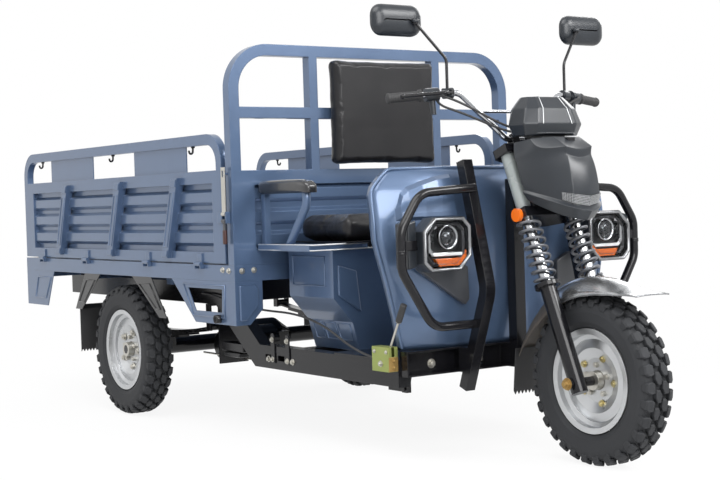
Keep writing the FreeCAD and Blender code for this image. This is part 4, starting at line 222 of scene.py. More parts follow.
def makeRelief(s):
    # fine surface relief on rounded edges, with a slow variation for roughness
    g, i, o = nodeGroup("surfaceRelief", "ShaderNodeTree",
                        dict.fromkeys(("Grain", "Depth", "Edge", "Rough", "Spread"), "Float"),
                        {"Normal": "Vector", "Roughness": "Float", "Cloud": "Float"})
    coord = addNode(g, "ShaderNodeTexCoord")
    fine = addNode(g, "ShaderNodeTexNoise", {"Detail": s["fineDetail"]})
    slow = addNode(g, "ShaderNodeTexNoise", {"Scale": s["slowScale"], "Detail": s["slowDetail"]})
    soft = addNode(g, "ShaderNodeBevel", samples=s["samples"])
    bump = addNode(g, "ShaderNodeBump", {"Distance": s["distance"]})
    centred = addNode(g, "ShaderNodeMath", {1: 0.5}, operation="SUBTRACT")
    spread = addNode(g, "ShaderNodeMath", operation="MULTIPLY_ADD")
    connect(g, (coord.outputs["Object"], fine.inputs["Vector"]),
            (coord.outputs["Object"], slow.inputs["Vector"]),
            (i.outputs["Grain"], fine.inputs["Scale"]), (i.outputs["Edge"], soft.inputs["Radius"]),
            (fine.outputs["Fac"], bump.inputs["Height"]), (i.outputs["Depth"], bump.inputs["Strength"]),
            (soft.outputs["Normal"], bump.inputs["Normal"]), (bump.outputs["Normal"], o.inputs["Normal"]),
            (slow.outputs["Fac"], centred.inputs[0]), (centred.outputs[0], spread.inputs[0]),
            (i.outputs["Spread"], spread.inputs[1]), (i.outputs["Rough"], spread.inputs[2]),
            (spread.outputs[0], o.inputs["Roughness"]), (slow.outputs["Fac"], o.inputs["Cloud"]))
    return g


relief = makeRelief(reliefSet)


def finish(name, dark, light, metallic, rough, spread, grain, depth, edge, **sockets):
    # colour drifts between two tones over the surface
    mat = bpy.data.materials.new(name)
    mat.use_nodes = True
    tree = mat.node_tree
    shader = tree.nodes["Principled BSDF"]
    sizes = {"Grain": grain, "Depth": depth, "Edge": edge, "Rough": rough, "Spread": spread}
    surface = addNode(tree, "ShaderNodeGroup", sizes, node_tree=relief)
    tones = addNode(tree, "ShaderNodeMix", {"A": (*dark, 1), "B": (*light, 1)}, data_type="RGBA")
    connect(tree, (surface.outputs["Cloud"], tones.inputs["Factor"]),
            (tones.outputs["Result"], shader.inputs["Base Color"]),
            (surface.outputs["Roughness"], shader.inputs["Roughness"]),
            (surface.outputs["Normal"], shader.inputs["Normal"]))
    shader.inputs["Metallic"].default_value = metallic
    for label, value in sockets.items():
        shader.inputs[label.replace("_", " ")].default_value = value
    return mat


# dark tone, light tone, metallic, roughness and its spread, grain, depth, rounded edge
bluePaint = finish("bluePaint", (0.070, 0.113, 0.200), (0.088, 0.138, 0.235),
                   0.40, 0.30, 0.08, 900, 0.012, 0.004, Coat_Weight=0.5, Coat_Roughness=0.05)
blackGloss = finish("blackGloss", (0.004, 0.004, 0.005), (0.008, 0.008, 0.010),
                    0.0, 0.18, 0.10, 500, 0.03, 0.003,
                    Specular_IOR_Level=0.3, Coat_Weight=0.1, Coat_Roughness=0.1)
silverPaint = finish("silverPaint", (0.44, 0.45, 0.46), (0.56, 0.57, 0.58),
                     0.8, 0.30, 0.15, 600, 0.03, 0.002)
zincPlate = finish("zincPlate", (0.42, 0.41, 0.37), (0.60, 0.58, 0.53),
                   0.95, 0.36, 0.25, 400, 0.05, 0.0015)
yellowZinc = finish("yellowZinc", (0.24, 0.31, 0.08), (0.36, 0.38, 0.14),
                    0.75, 0.4, 0.25, 300, 0.06, 0.002)
rustZinc = finish("rustZinc", (0.20, 0.10, 0.03), (0.42, 0.30, 0.10),
                  0.6, 0.45, 0.2, 240, 0.1, 0.002)
brassZinc = finish("brassZinc", (0.42, 0.35, 0.16), (0.62, 0.55, 0.32),
                   0.95, 0.32, 0.2, 400, 0.05, 0.001)
chromePlate = finish("chromePlate", (0.44, 0.45, 0.47), (0.58, 0.59, 0.61),
                     1.0, 0.14, 0.08, 200, 0.01, 0.0015)
polishedSteel = finish("polishedSteel", (0.40, 0.41, 0.42), (0.58, 0.59, 0.60),
                       0.92, 0.22, 0.10, 150, 0.02, 0.002)
springSteel = finish("springSteel", (0.10, 0.105, 0.115), (0.17, 0.175, 0.19),
                     0.6, 0.34, 0.15, 500, 0.05, 0.001)
paleEnamel = finish("paleEnamel", (0.22, 0.25, 0.25), (0.32, 0.345, 0.34),
                    0.1, 0.28, 0.1, 400, 0.02, 0.002)
tyreRubber = finish("tyreRubber", (0.0085, 0.0095, 0.0115), (0.020, 0.0215, 0.025),
                    0.0, 0.72, 0.2, 260, 0.25, 0.0025)
blackRubber = finish("blackRubber", (0.014, 0.014, 0.015), (0.028, 0.028, 0.029),
                     0.0, 0.6, 0.2, 350, 0.2, 0.0015)
charcoal = finish("charcoal", (0.009, 0.0115, 0.015), (0.016, 0.0195, 0.025),
                  0.0, 0.30, 0.10, 1400, 0.10, 0.0025)
greyPlastic = finish("greyPlastic", (0.035, 0.038, 0.044), (0.055, 0.058, 0.066),
                     0.0, 0.30, 0.1, 900, 0.05, 0.002)
guardPlastic = finish("guardPlastic", (0.050, 0.043, 0.037), (0.095, 0.082, 0.070),
                      0.0, 0.5, 0.15, 500, 0.12, 0.002)
glossBlack = finish("glossBlack", (0.010, 0.010, 0.011), (0.020, 0.020, 0.022),
                    0.0, 0.2, 0.1, 600, 0.08, 0.002, Coat_Weight=0.4)
leatherette = finish("leatherette", (0.007, 0.007, 0.008), (0.015, 0.0145, 0.016),
                     0.0, 0.32, 0.14, 700, 0.22, 0.001, Specular_IOR_Level=0.3, Coat_Weight=0.1)
redGrip = finish("redGrip", (0.030, 0.009, 0.007), (0.055, 0.015, 0.011),
                 0.0, 0.45, 0.15, 400, 0.1, 0.002)
amber = finish("amber", (0.62, 0.10, 0.004), (0.80, 0.17, 0.01),
               0.0, 0.18, 0.08, 300, 0.05, 0.002, Coat_Weight=0.6)
mirrorGlass = finish("mirrorGlass", (0.82, 0.84, 0.85), (0.86, 0.88, 0.89),
                     1.0, 0.03, 0.02, 60, 0.0, 0.0005)
whiteLamp = finish("whiteLamp", (0.82, 0.84, 0.86), (0.92, 0.93, 0.94),
                   0.0, 0.2, 0.1, 500, 0.05, 0.001)
# also the fender's rolled edge, where this darker grey is painted shade along the polished arch's edge
lampGreyAndRollShade = finish("lampGreyAndRollShade", (0.20, 0.205, 0.215), (0.30, 0.305, 0.315),
                  0.8, 0.22, 0.1, 300, 0.02, 0.001)
lampEyeGlass = finish("lampEyeGlass", (0.05, 0.055, 0.06), (0.16, 0.17, 0.18),
                      0.9, 0.05, 0.04, 60, 0.0, 0.0005)

lensSet = {"Transmission Weight": 1.0, "Roughness": 0.02, "IOR": 1.15}
clearLens = bpy.data.materials.new("clearLens")
clearLens.use_nodes = True
for label, value in lensSet.items():
    clearLens.node_tree.nodes["Principled BSDF"].inputs[label].default_value = value

bandSet = {"low": -1.30, "high": -0.245, "tone": (0.011, 0.011, 0.012)}


def bandPaint(name, base, s):
    # a copy of a paint that is black between two stations along the vehicle
    mat = base.copy()
    mat.name = name
    tree = mat.node_tree
    spot = addNode(tree, "ShaderNodeTexCoord")
    split = addNode(tree, "ShaderNodeSeparateXYZ")
    past = addNode(tree, "ShaderNodeMath", {1: s["low"]}, operation="GREATER_THAN")
    before = addNode(tree, "ShaderNodeMath", {1: s["high"]}, operation="LESS_THAN")
    both = addNode(tree, "ShaderNodeMath", operation="MULTIPLY")
    mix = addNode(tree, "ShaderNodeMix", {"B": (*s["tone"], 1)}, data_type="RGBA")
    colour = tree.nodes["Principled BSDF"].inputs["Base Color"]
    connect(tree, (colour.links[0].from_socket, mix.inputs["A"]),
            (spot.outputs["Object"], split.inputs[0]), (split.outputs["X"], past.inputs[0]),
            (split.outputs["X"], before.inputs[0]), (past.outputs[0], both.inputs[0]),
            (before.outputs[0], both.inputs[1]), (both.outputs[0], mix.inputs["Factor"]),
            (mix.outputs["Result"], colour))
    return mat


skirtPaint = bandPaint("skirtPaint", bluePaint, bandSet)
bySlot = {"body_paint": bluePaint, "black_frame": blackGloss, "silver_rim": silverPaint,
          "zinc_plate": zincPlate, "chrome_plate": chromePlate, "pale_paint": paleEnamel,
          "tyre_rubber": tyreRubber, "black_rubber": blackRubber, "dark_plastic": charcoal,
          "leatherette": leatherette, "amber_plastic": amber, "clear_lens": clearLens}
ownFinish = {"front_fender": polishedSteel, "shift_box": yellowZinc, "fork_stanchions": chromePlate,
             "bed_skirts": skirtPaint, "board_hinges": bluePaint,
             "right_latch_lever": greyPlastic, "left_latch_lever": greyPlastic}
for part in frame["record"]["subparts"]:
    mats = nodes[part["node"]].data.materials
    mats.clear()
    mats.append(ownFinish.get(part["node"], bySlot[part["material_slot"]]))
print("finishes set")


# making pieces

def mergeMesh(mesh, gap, recalc=False):
    bm = bmesh.new()
    bm.from_mesh(mesh)
    bmesh.ops.remove_doubles(bm, verts=bm.verts, dist=gap)
    if recalc:
        bmesh.ops.recalc_face_normals(bm, faces=bm.faces)
    bm.to_mesh(mesh)
    bm.free()


def smoothed(obj, smooth=True):
    obj.data.polygons.foreach_set("use_smooth", [smooth] * len(obj.data.polygons))
    return obj


def newMesh(name, verts, faces, mat, smooth=False):
    mesh = bpy.data.meshes.new(name)
    mesh.from_pydata([tuple(v) for v in verts], [], faces)
    mergeMesh(mesh, 1e-5, True)
    mesh.materials.append(mat)
    return smoothed(linked(name, mesh), smooth)


def evaluatedMesh(obj):
    bpy.context.view_layer.update()
    return bpy.data.meshes.new_from_object(obj.evaluated_get(bpy.context.evaluated_depsgraph_get()))


def settle(obj):
    # modifiers and curves become a plain mesh
    name = obj.name
    obj.name = name + ".raw"
    mesh = evaluatedMesh(obj)
    mesh.name = name
    bpy.data.objects.remove(obj)
    return linked(name, mesh)


def joinUp(name, objs):
    with bpy.context.temp_override(active_object=objs[0], object=objs[0],
                                   selected_editable_objects=objs, selected_objects=objs):
        bpy.ops.object.join()
    objs[0].name = name
    return objs[0]


def bevelled(obj, width, segments=2, angle=30):
    b = obj.modifiers.new("edge", "BEVEL")
    b.width = width
    b.segments = segments
    b.limit_method = "ANGLE"
    b.angle_limit = math.radians(angle)
    return settle(obj)


def walled(obj, thickness):
    wall = obj.modifiers.new("wall", "SOLIDIFY")
    wall.thickness = thickness
    wall.offset = -1
    return obj


def subdivided(obj, levels):
    finer = obj.modifiers.new("round", "SUBSURF")
    finer.levels = finer.render_levels = levels
    return smoothed(settle(obj))


def turnedOut(obj, outwards):
    # outwards(face) is positive for a face that points the right way
    if sum(outwards(f) for f in obj.data.polygons) < 0:
        obj.data.flip_normals()
    return obj


def mirrorY(obj, name):
    mesh = obj.data.copy()
    mesh.transform(Matrix.Scale(-1, 4, (0, 1, 0)))
    mesh.flip_normals()
    return linked(name, mesh)


def bothSides(obj, name):
    return joinUp(name, [obj, mirrorY(obj, name + ".other")])


def loft(name, loops, mat, smooth=True, closed=True, capped=True):
    n = len(loops[0])
    verts = [v for loop in loops for v in loop]
    faces = []
    for r in range(len(loops) - 1):
        for i in range(n if closed else n - 1):
            j = (i + 1) % n
            faces.append((r * n + i, r * n + j, (r + 1) * n + j, (r + 1) * n + i))
    if capped:
        faces.append(tuple(range(n)))
        faces.append(tuple((len(loops) - 1) * n + i for i in range(n)))
    return newMesh(name, verts, faces, mat, smooth)


def sheet(name, rows, mat, smooth=True):
    return loft(name, rows, mat, smooth, closed=False, capped=False)


def turnedShape(name, profile, origin, axis, mat, steps, smooth=True):
    # profile: (radius, height) pairs about the axis, closed at both ends
    axis = Vector(axis).normalized()
    side = axis.orthogonal().normalized()
    other = axis.cross(side)
    angles = [2 * math.pi * k / steps for k in range(steps)]
    loops = [[origin + axis * height + (side * math.cos(a) + other * math.sin(a)) * radius
              for a in angles] for radius, height in profile]
    return loft(name, loops, mat, smooth)


def curveThrough(name, points, curved, cyclic, steps):
    data = bpy.data.curves.new(name, "CURVE")
    data.dimensions = "3D"
    line = data.splines.new("NURBS" if curved else "POLY")
    line.points.add(len(points) - 1)
    for p, v in zip(line.points, points):
        p.co = (*v, 1)
    line.use_cyclic_u = cyclic
    if curved:
        line.order_u = 3
        line.use_endpoint_u = not cyclic
        line.resolution_u = steps
    return linked(name, data)


def thickened(obj, radius, sides, mat):
    obj.data.bevel_depth = radius
    obj.data.bevel_resolution = sides
    obj.data.use_fill_caps = True
    obj.data.materials.append(mat)
    return obj


def tube(name, points, radius, mat, sides=3, cyclic=False, curved=False):
    line = curveThrough(name, points, curved, cyclic, 8)
    return smoothed(settle(thickened(line, radius, sides, mat)))


def plate(name, outline, place, depth, mat, bevel):
    # outline in (u, v), place(u, v, w) gives the point, depth along w
    loops = [[place(u, v, w) for u, v in outline] for w in (0, depth)]
    return bevelled(loft(name, loops, mat, False), bevel)


def onFront(x):
    return lambda u, v, w: at(x + w, u, v)


def onRight(y):
    return lambda u, v, w: at(u, y - w, v)


def brick(name, low, high, mat, bevel):
    outline = [(low[0], low[1]), (high[0], low[1]), (high[0], high[1]), (low[0], high[1])]
    return plate(name, outline, lambda u, v, w: at(u, v, low[2] + w), high[2] - low[2], mat, bevel)


def wear(piece, body, slot, *standsFor):
    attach(piece, body)
    if standsFor:
        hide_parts(*standsFor)


def wearApart(right, leftName, body, slot):
    # a piece and its mirror image, each on the body of its own side
    left = mirrorY(right, leftName)
    wear(right, "right_" + body, slot)
    wear(left, "left_" + body, slot)


wheelbase, wheelRadius, rake = 2.207, 0.273, math.radians(22.5)
frontAxle = at(wheelbase, 0, wheelRadius)


def onFork(forward, y, along):
    # the raked fork's own axes, from the front axle
    return at(wheelbase + forward * math.cos(rake) - along * math.sin(rake), y,
              wheelRadius + forward * math.sin(rake) + along * math.cos(rake))


forkUp = (onFork(0, 0, 1) - onFork(0, 0, 0)).normalized()
forkAhead = (onFork(1, 0, 0) - onFork(0, 0, 0)).normalized()


def growTree(name, tree, values, base=None):
    # run a node tree on a base mesh and keep the plain result
    obj = linked(name, base or bpy.data.meshes.new(name))
    mod = obj.modifiers.new("grow", "NODES")
    mod.node_group = tree
    for item in tree.interface.items_tree:
        if item.in_out == "INPUT" and item.name in values:
            mod[item.identifier] = values[item.name]
    return settle(obj)


def newTree(name, **ins):
    sockets = {"Geometry": "Geometry"}
    sockets.update({label.replace("_", " "): kind for label, kind in ins.items()})
    return nodeGroup(name, "GeometryNodeTree", sockets, {"Geometry": "Geometry"})


def closeTree(g, i, o, last):
    real = addNode(g, "GeometryNodeRealizeInstances")
    paint = addNode(g, "GeometryNodeSetMaterial")
    connect(g, (last, real.inputs[0]), (real.outputs[0], paint.inputs[0]),
            (i.outputs["Material"], paint.inputs["Material"]), (paint.outputs[0], o.inputs[0]))
    return g


def coilTree(turnSteps=28, wireSides=12):
    g, i, o = newTree("coilSpring", Mean_Radius="Float", Wire_Radius="Float", Turns="Float",
                      Height="Float", Material="Material")
    spiral = addNode(g, "GeometryNodeCurveSpiral", {"Resolution": turnSteps})
    ring = addNode(g, "GeometryNodeCurvePrimitiveCircle", {"Resolution": wireSides})
    sweep = addNode(g, "GeometryNodeCurveToMesh", {"Fill Caps": True})
    smooth = addNode(g, "GeometryNodeSetShadeSmooth")
    connect(g, (i.outputs["Turns"], spiral.inputs["Rotations"]),
            (i.outputs["Mean Radius"], spiral.inputs["Start Radius"]),
            (i.outputs["Mean Radius"], spiral.inputs["End Radius"]),
            (i.outputs["Height"], spiral.inputs["Height"]),
            (i.outputs["Wire Radius"], ring.inputs["Radius"]),
            (spiral.outputs[0], sweep.inputs["Curve"]),
            (ring.outputs[0], sweep.inputs["Profile Curve"]),
            (sweep.outputs[0], smooth.inputs["Geometry"]))
    return closeTree(g, i, o, smooth.outputs[0])


# sides, radius, depth and lift of hexagon, washer and bolt end, in head sizes
headSet = [(6, 1.0, 0.7, 0.5), (14, 1.35, 0.16, 0.08), (10, 0.55, 0.35, 0.95)]


def headTree(parts):
    # a hexagon head on a washer at every point, facing the point's own way
    g, i, o = newTree("boltHeads", Material="Material")
    facing = addNode(g, "GeometryNodeInputNamedAttribute", {"Name": "facing"}, data_type="FLOAT_VECTOR")
    size = addNode(g, "GeometryNodeInputNamedAttribute", {"Name": "headSize"}, data_type="FLOAT")
    align = addNode(g, "FunctionNodeAlignRotationToVector", axis="Z")
    stack = addNode(g, "GeometryNodeJoinGeometry")
    for sides, radius, depth, lift in parts:
        drum = addNode(g, "GeometryNodeMeshCylinder",
                       {"Vertices": sides, "Radius": radius, "Depth": depth})
        up = addNode(g, "GeometryNodeTransform", {"Translation": (0, 0, lift)})
        connect(g, (drum.outputs["Mesh"], up.inputs[0]), (up.outputs[0], stack.inputs[0]))
    put = addNode(g, "GeometryNodeInstanceOnPoints")
    connect(g, (i.outputs["Geometry"], put.inputs["Points"]),
            (stack.outputs[0], put.inputs["Instance"]),
            (facing.outputs["Attribute"], align.inputs["Vector"]),
            (align.outputs[0], put.inputs["Rotation"]),
            (size.outputs["Attribute"], put.inputs["Scale"]))
    return closeTree(g, i, o, put.outputs[0])


boltHeads = headTree(headSet)


def bolts(name, spots, mat):
    # spots: (place, facing, size)
    mesh = bpy.data.meshes.new(name)
    mesh.from_pydata([tuple(s[0]) for s in spots], [], [])
    mesh.attributes.new("facing", "FLOAT_VECTOR", "POINT")
    mesh.attributes.new("headSize", "FLOAT", "POINT")
    mesh.attributes["facing"].data.foreach_set("vector", [c for s in spots for c in s[1]])
    mesh.attributes["headSize"].data.foreach_set("value", [s[2] for s in spots])
    return growTree(name, boltHeads, {"Material": mat}, mesh)


# fork coils and leaf springs

springSet = {"mean": 0.036, "wire": 0.0048, "turns": 7.5, "low": 0.3440, "high": 0.5560,
             "side": 0.1, "keep": 0.73}


def makeSprings(s):
    coil = growTree("forkCoil", coilTree(), {
        "Mean Radius": s["mean"], "Wire Radius": s["wire"], "Turns": s["turns"],
        "Height": s["high"] - s["low"], "Material": springSteel})
    turn = Matrix((forkAhead, Vector((0, 1, 0)), forkUp)).transposed().to_4x4()
    coil.data.transform(Matrix.Translation(onFork(0, -s["side"], s["low"])) @ turn)
    pair = bothSides(coil, "forkCoils")
    wear(pair, "steering", "zinc_plate", "fork_springs")
    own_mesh(pair)


def makeLeaves():
    mesh = nodes["leaf_springs"].data.copy()
    mergeMesh(mesh, 1e-6)
    leaves = linked("springLeaves", mesh)
    wear(leaves, "chassis", "black_frame", "leaf_springs")
    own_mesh(leaves)


makeSprings(springSet)
makeLeaves()
print("springs made")


# cushions, filled by a cloth simulation

cushionSet = {
    "backrest": {"node": "backrest_pad", "body": "chassis", "inset": (0.004, 0.006, 0.006),
                 "corner": 0.022, "pressure": 4.0, "cap": 0.010, "wrinkle": 0.0016, "fill": 0.75},
    "benchSeat": {"node": "seat_cushion", "body": "seat", "inset": (0.006, 0.006, 0.008),
                  "corner": 0.030, "pressure": 4.0, "cap": 0.012, "wrinkle": 0.0022, "fill": 0.7},
}
coverSet = {"voxel": 0.006, "cornerSteps": 4, "frames": 20, "foldScale": 16, "folds": (0.9, 2.0, 3),
            "calm": 0.35,
            "cloth": {"quality": 4, "mass": 0.4, "tension_stiffness": 12, "compression_stiffness": 12,
                      "shear_stiffness": 8, "bending_stiffness": 2, "use_pressure": True}}


def inflate(pad, pressure, cap, c):
    # no point moves further than the cap
    start = [v.co.copy() for v in pad.data.vertices]
    cloth = pad.modifiers.new("cloth", "CLOTH")
    for name, value in c["cloth"].items():
        setattr(cloth.settings, name, value)
    cloth.settings.uniform_pressure_force = pressure
    cloth.settings.effector_weights.gravity = 0
    cloth.point_cache.frame_start = 1
    cloth.point_cache.frame_end = c["frames"]
    scene = bpy.context.scene
    for f in range(1, c["frames"] + 1):
        scene.frame_set(f)
    got = pad.evaluated_get(bpy.context.evaluated_depsgraph_get()).to_mesh()
    ends = [v.co.copy() for v in got.vertices]
    pad.modifiers.clear()
    for v, a, b in zip(pad.data.vertices, start, ends):
        d = b - a
        v.co = a + d * min(1.0, cap / max(d.length, 1e-9))
    scene.frame_set(1)


def makeCushion(name, s, c):
    lowest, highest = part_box(s["node"])
    low, high = lowest + Vector(s["inset"]), highest - Vector(s["inset"])
    corners = [(x, y, z) for x in (low.x, high.x) for y in (low.y, high.y) for z in (low.z, high.z)]
    faces = [(0, 1, 3, 2), (4, 6, 7, 5), (0, 4, 5, 1), (2, 3, 7, 6), (0, 2, 6, 4), (1, 5, 7, 3)]
    pad = bevelled(newMesh(name, corners, faces, leatherette), s["corner"], c["cornerSteps"])
    grid = pad.modifiers.new("grid", "REMESH")
    grid.mode = "VOXEL"
    grid.voxel_size = c["voxel"]
    pad = settle(pad)
    inflate(pad, s["pressure"], s["cap"], c)
    mid, half = (low + high) / 2, (high - low) / 2
    for v in pad.data.vertices:
        near = abs(v.co.y - mid.y) / half.y
        if half.x < half.z:  # an upright pad is gathered at its top and foot too
            near = max(near, abs(v.co.z - mid.z) / half.z)
        fold = noise.fractal(v.co * c["foldScale"], *c["folds"])
        v.co += v.normal * (fold * s["wrinkle"] * (c["calm"] + (1 - c["calm"]) * near ** 3))
    for v in pad.data.vertices:  # stays in the room its solid holds
        v.co = Vector(min(max(k, a), b) for k, a, b in zip(v.co, lowest, highest))
    pad = subdivided(pad, 1)
    wear(pad, s["body"], "leatherette", s["node"])


for cushionName, cushionValues in cushionSet.items():
    makeCushion(cushionName, cushionValues, coverSet)
print("cushions filled")


# nose cowl and instrument pod: faceted mouldings

cowlSet = {
    "rows": {  # half of each row, from the rear to the middle
        "top": [(1.945, 0.110, 1.046), (2.030, 0.112, 1.056), (2.080, 0.058, 1.060), (2.088, 0, 1.058)],
        "brow": [(1.966, 0.130, 1.004), (2.070, 0.118, 1.016), (2.140, 0.056, 1.026), (2.146, 0, 1.012)],
        "browUnder": [(1.974, 0.128, 0.990), (2.070, 0.112, 0.998), (2.138, 0.052, 1.000), (2.146, 0, 0.984)],
        "face": [(1.990, 0.131, 0.950), (2.092, 0.110, 0.955), (2.156, 0.056, 0.962), (2.170, 0, 0.954)],
        "grilleTop": [(2.005, 0.131, 0.905), (2.114, 0.104, 0.886), (2.172, 0.058, 0.874), (2.187, 0, 0.866)],
        "grilleFoot": [(2.012, 0.127, 0.890), (2.116, 0.099, 0.862), (2.163, 0.054, 0.840), (2.176, 0, 0.830)],
        "lip": [(2.008, 0.132, 0.882), (2.124, 0.110, 0.850), (2.176, 0.062, 0.826), (2.192, 0, 0.815)],
        "lipFoot": [(2.024, 0.124, 0.854), (2.112, 0.096, 0.814), (2.154, 0.052, 0.793), (2.168, 0, 0.785)],
        "chin": [(2.020, 0.112, 0.856), (2.090, 0.080, 0.818), (2.128, 0.042, 0.797), (2.140, 0, 0.790)]},
    "rear": [(1.940, -0.100, 1.044), (1.940, 0, 1.054), (1.940, 0.100, 1.044)],
    "wall": 0.004, "bevel": (0.004, 2, 34),
    "mesh": (40, 6), "span": (1.45, 4.55), "margin": 0.08, "proud": 0.003, "wire": 0.0007,
}
podSet = {
    "rings": [(1.066, [(1.932, 0.100), (1.958, 0.118), (2.010, 0.114), (2.032, 0.078)]),
              (1.104, [(1.927, 0.114), (1.954, 0.136), (2.020, 0.128), (2.042, 0.084)]),
              (1.156, [(1.930, 0.104), (1.956, 0.118), (2.010, 0.110), (2.030, 0.072)]),
              (1.196, [(1.944, 0.076), (1.962, 0.084), (1.986, 0.078), (1.998, 0.054)])],
    "bevel": (0.0035, 3, 12), "foot": ((1.962, -0.05, 1.052), (2.022, 0.05, 1.08)), "footBevel": 0.004,
    "visor": [(-0.085, 2.030), (-0.06, 2.0518), (0.06, 2.0518), (0.085, 2.030)],
    "visorLow": 1.070, "visorWall": 0.006, "visorBevel": 0.0015,
    "trim": [(2.0425, 0.063, 1.104), (2.0305, 0.052, 1.156), (1.9985, 0.042, 1.1963), (1.950, 0.045, 1.1968)],
    "trimWire": 0.0016,
}


def makeCowl(s):
    rows = {}
    for name, half in s["rows"].items():
        right = [at(x, -y, z) for x, y, z in half]
        rows[name] = right + [at(x, y, z) for x, y, z in reversed(half[:-1])]
    shell = sheet("noseCowl", list(rows.values()), charcoal, False)
    lid = newMesh("cowlLid", rows["top"] + [at(*v) for v in s["rear"]],
                  [(0, 1, 2, 3, 8, 7), (3, 4, 5, 6, 9, 8)], charcoal)
    shell = joinUp("noseCowl", [shell, lid])
    mergeMesh(shell.data, 1e-5, True)
    turnedOut(shell, lambda f: f.normal.x)
    shell = subdivided(bevelled(walled(shell, s["wall"]), *s["bevel"]), 2)
    wear(shell, "steering", "dark_plastic", "nose_cowl")

    across, tall = s["mesh"]
    first, last = s["span"]
    top, foot = rows["grilleTop"], rows["grilleFoot"]
    lines = []
    for j in range(tall + 1):
        down = s["margin"] + (1 - 2 * s["margin"]) * j / tall
        line = []
        for i in range(across + 1):
            t = first + (last - first) * i / across
            k = min(int(t), len(top) - 2)
            a, b = (row[k].lerp(row[k + 1], t - k) for row in (top, foot))
            line.append(a.lerp(b, down) + Vector((s["proud"], 0, 0)))
        lines.append(line)
    net = sheet("cowlGrille", lines, silverPaint, False)
    wires = net.modifiers.new("wire", "WIREFRAME")
    wires.thickness = s["wire"] * 2
    wear(settle(net), "steering", "dark_plastic")


def makePod(s):
    loops = []
    for z, half in s["rings"]:
        loops.append([at(x, -y, z) for x, y in half] + [at(x, y, z) for x, y in reversed(half)])
    shell = bevelled(loft("instrumentPod", loops, charcoal, False), *s["bevel"])
    foot = brick("podFoot", *s["foot"], charcoal, s["footBevel"])
    visor = plate("podVisor", s["visor"], lambda u, v, w: at(v, u, s["visorLow"] + w),
                  s["visorWall"], charcoal, s["visorBevel"])
    pod = joinUp("instrumentPod", [shell, foot, visor])
    wear(pod, "steering", "dark_plastic", "instrument_pod")
    line = tube("podTrim", [at(x, -y, z) for x, y, z in s["trim"]], s["trimWire"], silverPaint, sides=2)
    wear(bothSides(line, "podTrims"), "steering", "silver_rim")


makeCowl(cowlSet)
makePod(podSet)
print("cowl and pod made")


# headlamps with their works behind clear covers

lampSet = {
    "y": -0.362, "z": 0.722, "halfWide": 0.098, "halfTall": 0.088, "cut": 0.046, "shortCut": 0.6,
    # rings about the lamp's outline: growth, x
    "shell": [(-0.03, 1.806), (-0.002, 1.836), (0, 1.861), (0, 1.896),
              (-0.004, 1.9), (-0.010, 1.9), (-0.014, 1.872), (-0.03, 1.866)],
    "shellBevel": (0.002, 2, 20),
    "rim": [(-0.0125, 1.897), (-0.0095, 1.9035), (-0.006, 1.9055), (-0.003, 1.9035), (-0.002, 1.899)],
    "trim": [(-0.030, 1.886), (-0.024, 1.893), (-0.017, 1.884), (-0.016, 1.876)],
    "cover": [(-0.0115, 1.897), (-0.0115, 1.8995), (-0.014, 1.9015)],
    # turned about the eye's own axis: radius, x
    "eyeY": 0.010, "eyeZ": 0.022, "eyeSteps": 32,
    "bowl": [(0.012, 1.869), (0.034, 1.872), (0.040, 1.890), (0.0375, 1.8925),
             (0.033, 1.886), (0.028, 1.874), (0.010, 1.873)],
    "eye": [(0.026, 1.874), (0.0262, 1.880), (0.023, 1.888), (0.016, 1.8935), (0.007, 1.896), (0.001, 1.8965)],
    # flat pieces: x, depth, bevel, outline
    "bracket": (1.872, 0.016, 0.002, [(0.072, 0.058), (0.034, 0.062), (0.034, 0.050), (0.060, 0.046),
                                      (0.060, -0.012), (0.048, -0.026), (-0.068, -0.026),
                                      (-0.068, -0.040), (0.054, -0.040), (0.074, -0.018)]),
    "day": (1.887, 0.004, 0.001, [(0.060, -0.028), (0.048, -0.038), (-0.066, -0.038), (-0.066, -0.028)]),
    "turn": (1.874, 0.018, 0.002, [(0.046, -0.046), (0.030, -0.072), (-0.062, -0.072), (-0.083, -0.054),
                                   (-0.083, -0.020), (-0.068, -0.036), (-0.054, -0.046)]),
    "bezel": (1.790, 0.07, 0.004, [(0.096, -0.072), (0.130, -0.078), (0.130, 0.070), (0.096, 0.080)]),
    "slat": (1.870, 0.014, 0.001, [(0.044, 0.002), (0.044, 0.009), (0.056, 0.009), (0.056, 0.002)]),
    "slats": 3, "slatRise": 0.012,
}


